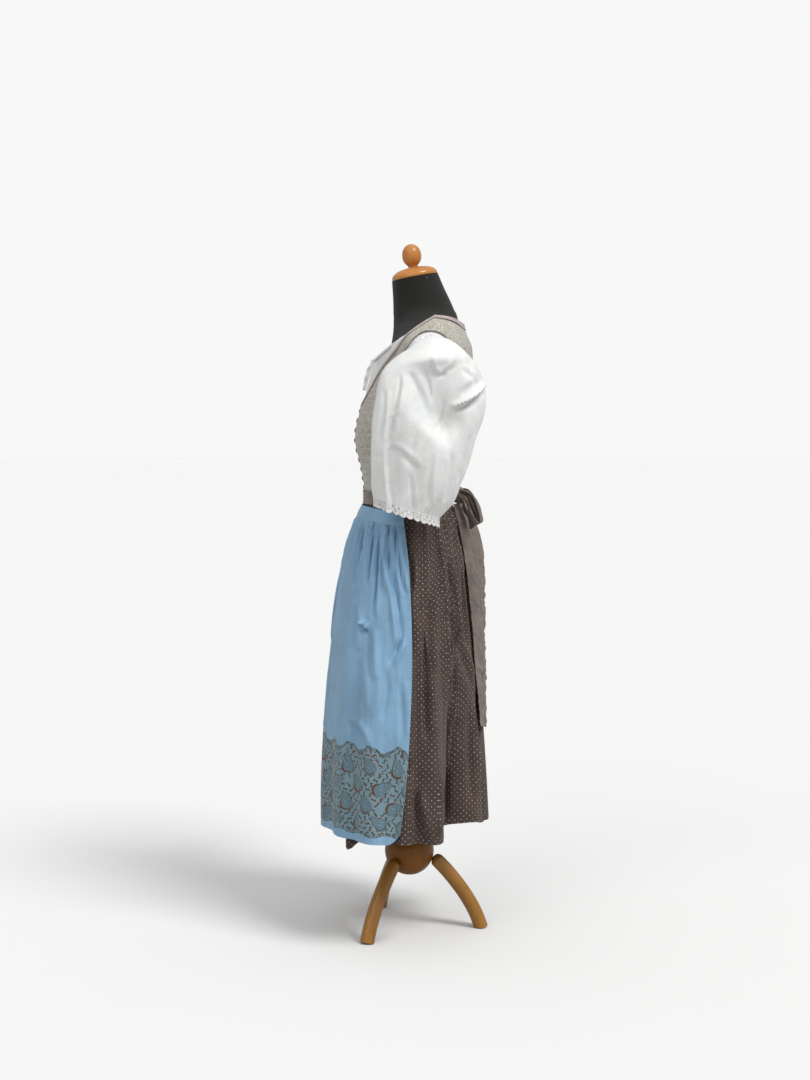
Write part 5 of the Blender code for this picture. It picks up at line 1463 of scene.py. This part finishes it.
def cloth_place(tree):
    """The cloth's own coordinates, in mm."""
    split = tree.nodes.new("ShaderNodeSeparateXYZ")
    source = tree.nodes.new("ShaderNodeUVMap")
    source.uv_map = UV_NAME
    tree.links.new(source.outputs["UV"], split.inputs[0])
    return Wire(tree, split.outputs[0]) * (1 / MM), Wire(tree, split.outputs[1]) * (1 / MM)


def noise_of(tree, where, scale, detail=2.0):
    """Cloudy noise from 0 to 1."""
    node = tree.nodes.new("ShaderNodeTexNoise")
    plug(tree, where, node.inputs["Vector"])
    node.inputs["Scale"].default_value = scale
    node.inputs["Detail"].default_value = detail
    return Wire(tree, node.outputs["Fac"])


def cloth_noise(tree, u, v, scale, detail=2.0):
    """Cloudy noise over the cloth's own coordinates."""
    return noise_of(tree, vector(tree, u, v), scale, detail)


def mottled(tree, u, v, scale, low, high):
    """A ground that changes slowly from one colour to another over the cloth."""
    return blend(tree, cloth_noise(tree, u, v, scale, 3.0).rise(0.35, 0.65), low, high)


def chance(tree, x, y, seed):
    """Three random numbers from 0 to 1 for each whole x and y."""
    node = tree.nodes.new("ShaderNodeTexWhiteNoise")
    node.noise_dimensions = "3D"
    plug(tree, vector(tree, x, y, seed), node.inputs["Vector"])
    split = tree.nodes.new("ShaderNodeSeparateXYZ")
    tree.links.new(node.outputs["Color"], split.inputs[0])
    return [Wire(tree, socket) for socket in split.outputs]


def cells(tree, u, v, wide, high, seed):
    """Staggered cells: the place inside each from its middle, in mm, and its three random numbers."""
    row = (v / high).floor()
    along = u / wide + (row / 2.0).fract()
    column = along.floor()
    x = (along.fract() - 0.5) * wide
    y = ((v / high).fract() - 0.5) * high
    return x, y, chance(tree, column, row, seed)


def from_middle(x, y):
    """How far a place is from the middle of its cell."""
    return (x * x + y * y).root()


def turned_by(x, y, angle):
    """A place turned about the middle of its cell."""
    return x * angle.cos() - y * angle.sin(), x * angle.sin() + y * angle.cos()


def group(name, inputs, outputs, build):
    """A shared node group, made once, whose outputs are numbers. build takes its tree and its input
    sockets by name, and gives a wire for each output."""
    tree = bpy.data.node_groups.get(name)
    if tree:
        return tree
    tree = bpy.data.node_groups.new(name, "ShaderNodeTree")
    for label, kind, value in inputs:
        socket = tree.interface.new_socket(label, in_out="INPUT", socket_type=kind)
        if value is not None:
            socket.default_value = value
    for label in outputs:
        tree.interface.new_socket(label, in_out="OUTPUT", socket_type="NodeSocketFloat")
    start, end = tree.nodes.new("NodeGroupInput"), tree.nodes.new("NodeGroupOutput")
    found = build(tree, {label: start.outputs[label] for label, *_ in inputs})
    for label, value in found.items():
        plug(tree, value, end.inputs[label])
    return tree


def place(tree, shared, **values):
    """A shared group put into a material with its own values. Underscores stand for spaces."""
    node = tree.nodes.new("ShaderNodeGroup")
    node.node_tree = shared
    for label, value in values.items():
        plug(tree, value, node.inputs[label.replace("_", " ")])
    return node.outputs


def weave_group():
    """Plain weave: threads over and under each other, a little uneven, its colour lighter on the raised
    threads as painted shade.
    """
    def build(tree, given):
        u, v, thread = (Wire(tree, given[k]) for k in ("Across", "Along", "Thread"))
        slow = cloth_noise(tree, u, v, 0.09, 3.0)
        u, v = u + slow * 0.7, v + slow * 0.9
        warp, weft = (u * math.pi / thread).sin(), (v * math.pi / thread).sin()
        over = (warp * weft).rise(-0.25, 0.25)
        height = warp.abs() * over + weft.abs() * (over * -1.0 + 1.0)
        slub = noise_of(tree, vector(tree, u / thread * 0.5, v / thread * 0.03), 1.0, 1.0)
        slub = slub + noise_of(tree, vector(tree, u / thread * 0.03, v / thread * 0.5), 1.0, 1.0)
        # Shade is partly painted shade, darker in the hollows between the raised threads, and partly the
        # random tone of the slubs.
        return {"Height": height + slub * 0.6, "Shade": height * 0.12 + slub * 0.25 + 0.70}
    numbers = [("Across", "NodeSocketFloat", None), ("Along", "NodeSocketFloat", None),
               ("Thread", "NodeSocketFloat", 0.5)]
    return group("Cloth weave", numbers, ("Height", "Shade"), build)


def wear_and_crease_shade_group():
    """Slow changes of tone over worn, washed and ironed cloth, with faint darker lines of painted crease
    shade.
    """
    def build(tree, given):
        u, v, size = (Wire(tree, given[k]) for k in ("Across", "Along", "Size"))
        where = vector(tree, u / size, v / size)
        broad = noise_of(tree, where, 0.6, 4.0)
        fine = noise_of(tree, where, 4.0, 3.0)
        # Painted crease shade: thin winding lines where ironed creases would lie, 0 on the lines and 1
        # elsewhere; the cloth is made faintly darker along them.
        press = noise_of(tree, vector(tree, u / size, v / size * 0.35, 7.0), 2.2, 1.0)
        painted_crease_shade = (press - 0.5).abs().rise(0.0, 0.02)
        return {"Tone": broad * 0.7 + fine * 0.3, "Marks": painted_crease_shade}
    numbers = [("Across", "NodeSocketFloat", None), ("Along", "NodeSocketFloat", None),
               ("Size", "NodeSocketFloat", 100.0)]
    return group("Cloth wear", numbers, ("Tone", "Marks"), build)


def started(name):
    """A new material with its tree and shader, or None in place of them if it is already made."""
    found = bpy.data.materials.get(name)
    if found:
        return found, None, None
    made = bpy.data.materials.new(name)
    made.use_nodes = True
    return made, made.node_tree, made.node_tree.nodes["Principled BSDF"]


def bump(tree, shader, height, distance):
    """Raises the surface's shading by a height, of which 1 is the distance in mm."""
    node = tree.nodes.new("ShaderNodeBump")
    node.inputs["Distance"].default_value = distance * MM
    node.inputs["Strength"].default_value = 1.0
    plug(tree, height, node.inputs["Height"])
    tree.links.new(node.outputs["Normal"], shader.inputs["Normal"])


def shade(tree, colour, amount):
    """A colour made darker or lighter by a number about 1."""
    node = tree.nodes.new("ShaderNodeVectorMath")
    node.operation = "SCALE"
    if isinstance(colour, bpy.types.NodeSocket):
        tree.links.new(colour, node.inputs[0])
    else:
        node.inputs[0].default_value = colour
    plug(tree, amount, node.inputs["Scale"])
    return node.outputs[0]


def cloth_base(name, thread, size, rough, sheen, print_on, depth=0.12, seams=None):
    """A woven material. print_on gives its colour from its tree and its cloth coordinates."""
    made, tree, shader = started(name)
    if tree is None:
        return made
    u, v = cloth_place(tree)
    weave = place(tree, weave_group(), Across=u, Along=v, Thread=thread)
    wear = place(tree, wear_and_crease_shade_group(), Across=u, Along=v, Size=size)
    colour = print_on(tree, u, v)
    tone, painted_crease_shade = Wire(tree, wear["Tone"]), Wire(tree, wear["Marks"])
    # The wear's random tone, times painted crease shade: faint darker lines where creases would lie.
    light = tone.rise(0.3, 0.7, 0.93, 1.05) * painted_crease_shade.rise(0, 1, 0.975, 1.0)
    # The weave's painted shade between threads is multiplied in here.
    plug(tree, shade(tree, colour, light * Wire(tree, weave["Shade"])), shader.inputs["Base Color"])
    plug(tree, tone.rise(0.2, 0.8, rough - 0.06, rough + 0.06), shader.inputs["Roughness"])
    shader.inputs["Sheen Weight"].default_value = sheen
    shader.inputs["Sheen Roughness"].default_value = 0.45
    shader.inputs["Specular IOR Level"].default_value = 0.3
    height = Wire(tree, weave["Height"])
    bump(tree, shader, height if seams is None else height + seams(tree, u, v), depth)
    return made


def dyed(cloth, amount=1.0, warmth=0.0):
    """One of the outfit's colours, made lighter or darker and warmer or cooler."""
    colour = getattr(bpy.context.scene.dirndl_colours, cloth)
    return tuple(min(1.0, c * amount * share) for c, share in zip(colour, (1 + warmth, 1, 1 - warmth)))


def white_cotton():
    """Plain white cotton of the blouse."""
    def plain_white(tree, u, v):
        tint = noise_of(tree, vector(tree, u / 60.0, v / 60.0), 1.0, 2.0)
        return blend(tree, tint.rise(0.3, 0.7), dyed("cotton", 0.98, -0.015), dyed("cotton", 1.01, 0.015))
    return cloth_base("white_cotton_cloth", 0.45, 90.0, 0.82, 0.25, plain_white, 0.10)


def cotton_lace():
    """White lace, with painted shade round its eyelets and a faint darker line along its top row."""
    def thread(tree, u, v):
        near = []
        for shift, down in zip((0.5, 0.0), EYELET_DOWN):
            x, y = (u / LACE_PITCH + shift).fract() * LACE_PITCH - LACE_PITCH / 2, v - down
            near.append(from_middle(x, y))
        around = near[0].least(near[1])
        ground = blend(tree, cloth_noise(tree, u, v, 0.2, 2.0), dyed("cotton", 1.0, 0.01),
                       dyed("cotton", 0.95))
        # Painted shade: a dark grey ring round each eyelet stands for the shade in its hole.
        shadow = around.line(EYELET_RADIUS + 0.3, 0.35, 0.5) * 0.55
        return blend(tree, shadow.most(v.line(2.2, 0.25, 0.5) * 0.12), ground, dyed("cotton", 0.42))

    def stitches(tree, u, v):
        return ((u * 4.2).sin() * 0.5 + 0.5) * 2.0

    return cloth_base("cotton_lace_cloth", 0.6, 30.0, 0.85, 0.3, thread, 0.14, stitches)


def grey_brocade():
    """Grey brocade with small flowers, stems and leaves, flecked with its dark and light threads."""
    def scrolls(tree, u, v):
        x, y, (turn, size, _) = cells(tree, u, v, BROCADE_WIDE, BROCADE_HIGH, 3.0)
        x, y = turned_by(x, y, turn * 2 * math.pi)
        around = from_middle(x, y)
        turn_at = x.math("ARCTAN2", y)
        petals = around - ((turn_at * 5.0).sin() * 1.3 + size * 1.6 + 3.4)
        flower = petals.rise(0.6, -0.3) * (around - 1.5).rise(-0.2, 0.3)
        rim = petals.line(1.5, 0.35, 0.3)
        wave = (u / 5.2).sin() * 3.0 + (u / 12.0 + 1.3).sin() * 2.0
        stem = ((v / BROCADE_HIGH).fract() * BROCADE_HIGH - BROCADE_HIGH / 2 + wave).line(0.0, 0.7, 0.4)
        lx, ly, (leaf_turn, leaf_on, _) = cells(tree, u + 4.0, v + 3.0, LEAF_WIDE, LEAF_HIGH, 9.0)
        lx, ly = turned_by(lx, ly, leaf_turn * 2 * math.pi)
        leaf = (ly.abs() - (lx * lx * -0.16 + 1.5)).rise(0.35, -0.35) * leaf_on.rise(0.35, 0.45)
        figure = flower.most(rim).most(stem).most(leaf)
        ground = mottled(tree, u, v, 0.05, dyed("brocade", 1.05), dyed("brocade", 0.88, 0.05))
        ground = blend(tree, figure * 0.45, ground, BROCADE_FIGURE)
        fleck = noise_of(tree, vector(tree, u, v * 0.8), 0.48, 1.5)
        ground = blend(tree, fleck.rise(0.50, 0.38) * 0.75, ground, BROCADE_FIGURE)
        return blend(tree, fleck.rise(0.54, 0.66) * 0.8, ground, BROCADE_LIGHT)
    return cloth_base("grey_brocade_cloth", 0.5, 60.0, 0.62, 0.25, scrolls, 0.12)


def dotted_cotton():
    """Brown cotton printed with staggered pin dots."""
    def dots(tree, u, v):
        slip = cloth_noise(tree, u, v, 0.02, 1.0) * 2.0
        sizes = bpy.context.scene.dirndl_sizes
        step, dot_radius = sizes.dot_step / MM, sizes.dot_radius / MM
        x, y, (blot, lit, _) = cells(tree, u + slip, v + slip, step, step / 2, 5.0)
        around = from_middle(x, y)
        dot = (around - (blot * 0.35 + dot_radius - 0.17)).rise(0.22, -0.22)
        ground = mottled(tree, u, v, 0.012, dyed("skirt", 0.83), dyed("skirt", 1.2, 0.02))
        return blend(tree, dot * lit.rise(0.0, 0.6, 0.7, 1.0), ground, dyed("dots"))
    return cloth_base("brown_dotted_cloth", 0.4, 120.0, 0.80, 0.12, dots, 0.10)


def printed_cotton():
    """Blue cotton of the apron, with its printed border."""
    return cloth_base("blue_printed_cloth", 0.5, 110.0, 0.74, 0.2, paisley_border, 0.11)


def paisley_border(tree, u, v):
    """Plain blue cotton with a border of paisleys, leaf strokes and dots between two scalloped edges."""
    ground = mottled(tree, u, v, 0.012, dyed("apron", 0.95), dyed("apron", 1.06))
    sizes = bpy.context.scene.dirndl_sizes
    step, high = sizes.paisley_wide / MM, sizes.border_high / MM
    wave = (u * (2 * math.pi / step)).cos()
    top = wave * 7.0 + (u * (2 * math.pi / 23.0)).sin() * 1.6 + high
    foot = (u * (2 * math.pi / step) + 1.0).cos() * 3.0 + BORDER_FOOT
    inside = (v - top).rise(0.6, -0.6) * (v - foot).rise(-0.6, 0.6)
    x, y, (turn, size, kind) = cells(tree, u, v - BORDER_FOOT - 4.0, step, PAISLEY_HIGH, 2.0)
    x, y = x + (size - 0.5) * 9.0, y + (kind - 0.5) * 5.0
    px, py = turned_by(x, y, turn * 2.6 - 1.5)
    grow = size * 0.25 + 0.92
    px, py = px / grow, py / grow
    up = (py + 5.0).most(0.0)
    bent = px - up * up * 0.022
    low, over = (py + 5.0).least(0.0), (py - 17.0).most(0.0)
    girth = ((up / -25.0 + 1.0).most(0.0) ** 0.6) * 11.2
    d = (bent * bent + low * low + over * over).root() - girth
    lump = (px.math("ARCTAN2", py) * 11.0).sin()
    rim = d + lump * 0.5
    side = bent.rise(3.0, -5.0)
    dash = ((py + px.abs() * 0.9) * 1.5).sin().rise(-0.2, 0.3)
    body = d.rise(0.8, -0.2)
    crescent = rim.line(1.4, 1.6) * side * kind.rise(0.25, 0.35) * (py + 1.0).rise(4.0, -1.0)
    contour = (d.line(0.0, 1.0) * dash.most(side)).most(d.line(2.9, 0.9) * (dash * -1.0 + 1.0))
    inner = d.line(-3.4, 0.6) * dash
    core = d.line(-7.0, 0.9) * ((py * 2.2).sin().rise(-0.3, 0.3))
    echo = d.line(6.0, 0.35).most(d.line(9.0, 0.35) * dash)
    away = d.rise(2.6, 4.2)
    sx, sy, (s_turn, s_kind, s_on) = cells(tree, u + 5.0, v + 2.0, STROKE_WIDE, STROKE_HIGH, 6.0)
    sx, sy = turned_by(sx, sy, s_turn * 2 * math.pi)
    bow = sy - (sx * 0.55).sin() * 2.2
    stroke = (bow.abs() - (sx * sx * -0.036 + 2.1)).rise(0.4, -0.3) * sx.abs().rise(7.0, 6.2)
    stroke = stroke * s_on.rise(0.10, 0.14) * away
    tx, ty, (_, t_size, t_on) = cells(tree, u + 1.0, v + 5.0, TICK_WIDE, TICK_HIGH, 8.0)
    tick = (from_middle(tx, ty) - t_size * 1.45).rise(0.45, -0.2) * t_on.rise(0.35, 0.45) * away
    vine = cloth_noise(tree, u, v, 0.035, 1.0)
    vines = (vine * 26.0).sin().line(0.0, 0.10, 0.08) * away
    field = blend(tree, inside * 0.95, ground, dyed("border"))
    field = blend(tree, body * inside, field, PRINT_FILL)
    field = blend(tree, (echo.most(vines) * 0.75) * inside, field, PRINT_BEIGE)
    edge = (v - top).line(0.0, 0.6).most((v - top).line(-4.5, 0.5)).most((v - foot).line(0.0, 0.6))
    edge = edge.most((v - foot).line(4.0, 0.4) * ((u * 1.7).sin().rise(-0.2, 0.2)))
    olive = (contour.most(inner).most(core).most(tick).most(stroke * s_kind.rise(0.68, 0.62))) * inside
    field = blend(tree, olive.most(edge * 0.85), field, PRINT_OLIVE)
    brown = crescent.most(stroke * s_kind.rise(0.62, 0.68)) * inside
    return blend(tree, brown, field, PRINT_BROWN)


def ribbed_taffeta(cloth="ribbon"):
    """Taffeta with fine ribs across it, darker and lighter where it has been crushed, and with painted shade
    between its ribs.
    """
    made, tree, shader = started(f"{cloth}_taffeta_cloth")
    if tree is None:
        return made
    u, v = cloth_place(tree)
    wear = place(tree, wear_and_crease_shade_group(), Across=u, Along=v, Size=26.0)
    weave = place(tree, weave_group(), Across=u, Along=v, Thread=0.35)
    ribs = (u * (2 * math.pi / 1.3) + cloth_noise(tree, u, v, 0.15, 1.0) * 2.0).sin() * 0.5 + 0.5
    tone = Wire(tree, wear["Tone"])
    colour = blend(tree, tone.rise(0.35, 0.65), dyed(cloth, 0.78), dyed(cloth, 1.3, 0.02))
    # Painted shade: the colour is a little lighter on the raised ribs and darker between them.
    plug(tree, shade(tree, colour, ribs * 0.12 + 0.92), shader.inputs["Base Color"])
    plug(tree, tone.rise(0.2, 0.8, 0.36, 0.52), shader.inputs["Roughness"])
    shader.inputs["Sheen Weight"].default_value = 0.15
    shader.inputs["Anisotropic"].default_value = 0.4
    bump(tree, shader, ribs + Wire(tree, weave["Height"]) * 0.4, 0.10)
    return made


def knit_rows(u, v):
    """Waving rows of knitted loops, from -1 to 1."""
    return (v * 2.6 + (u * 2.6).sin() * 0.8).sin()


def jersey():
    """Black jersey knit, with painted shade between its loops and a little dust."""
    def knit(tree, u, v):
        rows = knit_rows(u, v) * 0.5 + 0.5
        dust = cloth_noise(tree, u, v, 0.3, 4.0).rise(0.62, 0.8)
        # Painted shade: the colour follows the loops' height, lighter on them and darker between them.
        colour = blend(tree, rows, dyed("jersey", 0.8), dyed("jersey", 1.3))
        return blend(tree, dust * 0.12, colour, LINT)

    def loops(tree, u, v):
        return knit_rows(u, v) * 0.8

    return cloth_base("black_jersey_cloth", 0.6, 80.0, 0.86, 0.10, knit, 0.10, loops)


def wood_group():
    """Turned wood: long grain along an axis, pores, and a few darker growth lines."""
    def build(tree, given):
        where = given["Place"]
        stretch = tree.nodes.new("ShaderNodeMapping")
        stretch.inputs["Scale"].default_value = (1.0, 1.0, 0.12)
        tree.links.new(where, stretch.inputs["Vector"])
        long = stretch.outputs[0]
        warp = noise_of(tree, long, 26.0, 3.0)
        rings = warp.rise(0.30, 0.70) * 0.6 + noise_of(tree, long, 190.0, 3.0).rise(0.3, 0.7) * 0.4
        pores = noise_of(tree, long, 900.0, 2.0).rise(0.56, 0.70)
        slow = noise_of(tree, where, 9.0, 2.0)
        return {"Rings": rings, "Pores": pores, "Slow": slow}
    return group("Wood grain", [("Place", "NodeSocketVector", None)], ("Rings", "Pores", "Slow"), build)


def varnished(name, pale, deep, coat):
    """Varnished wood, its grain between a pale and a deep colour."""
    made, tree, shader = started(name)
    if tree is None:
        return made
    source = tree.nodes.new("ShaderNodeTexCoord")
    grain = place(tree, wood_group(), Place=source.outputs["Object"])
    rings, pores, slow = (Wire(tree, grain[k]) for k in ("Rings", "Pores", "Slow"))
    share = rings * 0.55 + slow.rise(0.3, 0.7) * 0.35
    colour = blend(tree, pores * 0.35, blend(tree, share, pale, deep), tuple(c * 0.35 for c in deep))
    plug(tree, colour, shader.inputs["Base Color"])
    plug(tree, slow.rise(0.3, 0.7, 0.30, 0.42) + pores * 0.15, shader.inputs["Roughness"])
    shader.inputs["Coat Weight"].default_value = coat
    shader.inputs["Coat Roughness"].default_value = 0.16
    shader.inputs["Specular IOR Level"].default_value = 0.3
    bump(tree, shader, rings * 0.3 - pores, 0.06)
    return made


def wood_light():
    """Honey-coloured wood of the pole, the cap and the finial."""
    return varnished("honey_wood", HONEY_PALE, HONEY_DEEP, 0.35)


def wood_leg():
    """Browner wood of the legs."""
    return varnished("leg_wood", LEG_PALE, LEG_DEEP, 0.3)


def wood_dark():
    """Dark wood of the hub."""
    return varnished("walnut_wood", WALNUT_PALE, WALNUT_DEEP, 0.1)


def dark_metal():
    """Old silver, clouded with tarnish."""
    made, tree, shader = started("old_silver")
    if tree is None:
        return made
    source = tree.nodes.new("ShaderNodeTexCoord")
    stain = noise_of(tree, source.outputs["Object"], 700.0, 3.0)
    bright = stain.rise(0.35, 0.65)
    plug(tree, blend(tree, bright, TARNISH, SILVER), shader.inputs["Base Color"])
    plug(tree, bright.rise(0.0, 1.0, 0.60, 0.42), shader.inputs["Roughness"])
    shader.inputs["Metallic"].default_value = 0.5
    bump(tree, shader, stain, 0.05)
    return made


def floor_paper():
    """Pale paper of the floor, which gives back less light than it shows."""
    made, tree, shader = started("floor_paper")
    if tree is None:
        return made
    source = tree.nodes.new("ShaderNodeTexCoord")
    tone = noise_of(tree, source.outputs["Object"], 1.5, 2.0)
    ray = tree.nodes.new("ShaderNodeLightPath")
    seen = blend(tree, tone, PAPER_DARK, PAPER_PALE)
    colour = blend(tree, Wire(tree, ray.outputs["Is Camera Ray"]), FLOOR_BOUNCE, seen)
    plug(tree, colour, shader.inputs["Base Color"])
    shader.inputs["Roughness"].default_value = 0.95
    return made


# ================================================================ studio
class DIRNDL_OT_studio(bpy.types.Operator):
    """Lay the pale floor, set the soft lights and place the camera."""
    bl_idname = "dirndl.studio"
    bl_label = "Studio"

    def execute(self, context):
        bpy.ops.object.select_all(action="DESELECT")
        bpy.ops.mesh.primitive_plane_add(size=FLOOR_SIDE, location=(0, 0, -FLOOR_UNDER))
        floor = context.object
        floor.name = "floor"
        bpy.ops.object.transform_apply(location=True, rotation=True, scale=True)
        floor.data.materials.append(floor_paper())
        for lamp in LIGHTS:
            light = bpy.data.lights.new(lamp.name, "SUN")
            light.angle, light.energy = math.radians(lamp.spread), lamp.strength
            obj = bpy.data.objects.new(lamp.name, light)
            obj.location = lamp.place
            obj.rotation_euler = Vector(lamp.place).to_track_quat("Z", "Y").to_euler()
            context.scene.collection.objects.link(obj)
        world = bpy.data.worlds.new("Studio air")
        context.scene.world = world
        world.use_nodes = True
        tree, air = world.node_tree, world.node_tree.nodes["Background"]
        ray = tree.nodes.new("ShaderNodeLightPath")
        level = Wire(tree, ray.outputs["Is Camera Ray"]).rise(0, 1, AIR_LIGHT, BACKDROP)
        plug(tree, level, air.inputs["Strength"])
        air.inputs["Color"].default_value = (1, 1, 1, 1)
        context.scene.view_settings.view_transform = "Standard"
        camera = bpy.data.cameras.new("camera")
        camera.lens, camera.sensor_width, camera.sensor_fit = LENS, SENSOR, "AUTO"
        obj = bpy.data.objects.new("camera", camera)
        obj.location = (CAMERA_AWAY, 0, CAMERA_HEIGHT)
        obj.rotation_euler = (math.pi / 2 - math.radians(CAMERA_DOWN), 0, math.pi / 2)
        context.scene.collection.objects.link(obj)
        context.scene.camera = obj
        return {"FINISHED"}


STEPS = [
    DIRNDL_OT_stand, DIRNDL_OT_form, DIRNDL_OT_blouse, DIRNDL_OT_sleeves, DIRNDL_OT_bodice, DIRNDL_OT_buttons,
    DIRNDL_OT_skirt, DIRNDL_OT_apron, DIRNDL_OT_sash, DIRNDL_OT_studio,
]


class DIRNDL_PT_panel(bpy.types.Panel):
    """The outfit's steps, in the order in which they are made."""
    bl_idname = "DIRNDL_PT_panel"
    bl_label = "Dirndl"
    bl_space_type = "VIEW_3D"
    bl_region_type = "UI"
    bl_category = "Dirndl"

    def draw(self, context):
        for values in (context.scene.dirndl_sizes, context.scene.dirndl_colours):
            column = self.layout.column(align=True)
            for name in values.bl_rna.properties.keys():
                if name not in ("rna_type", "name"):
                    column.prop(values, name)
        for step in STEPS:
            self.layout.operator(step.bl_idname)


CLASSES = [DirndlSizes, DirndlColours, *STEPS, DIRNDL_PT_panel]


def register():
    for cls in CLASSES:
        bpy.utils.register_class(cls)
    bpy.types.Scene.dirndl_sizes = bpy.props.PointerProperty(type=DirndlSizes)
    bpy.types.Scene.dirndl_colours = bpy.props.PointerProperty(type=DirndlColours)


def unregister():
    del bpy.types.Scene.dirndl_colours
    del bpy.types.Scene.dirndl_sizes
    for cls in reversed(CLASSES):
        bpy.utils.unregister_class(cls)


def main():
    register()
    for step in STEPS:
        family, name = step.bl_idname.split(".")
        getattr(getattr(bpy.ops, family), name)()


if __name__ == "__main__":
    main()
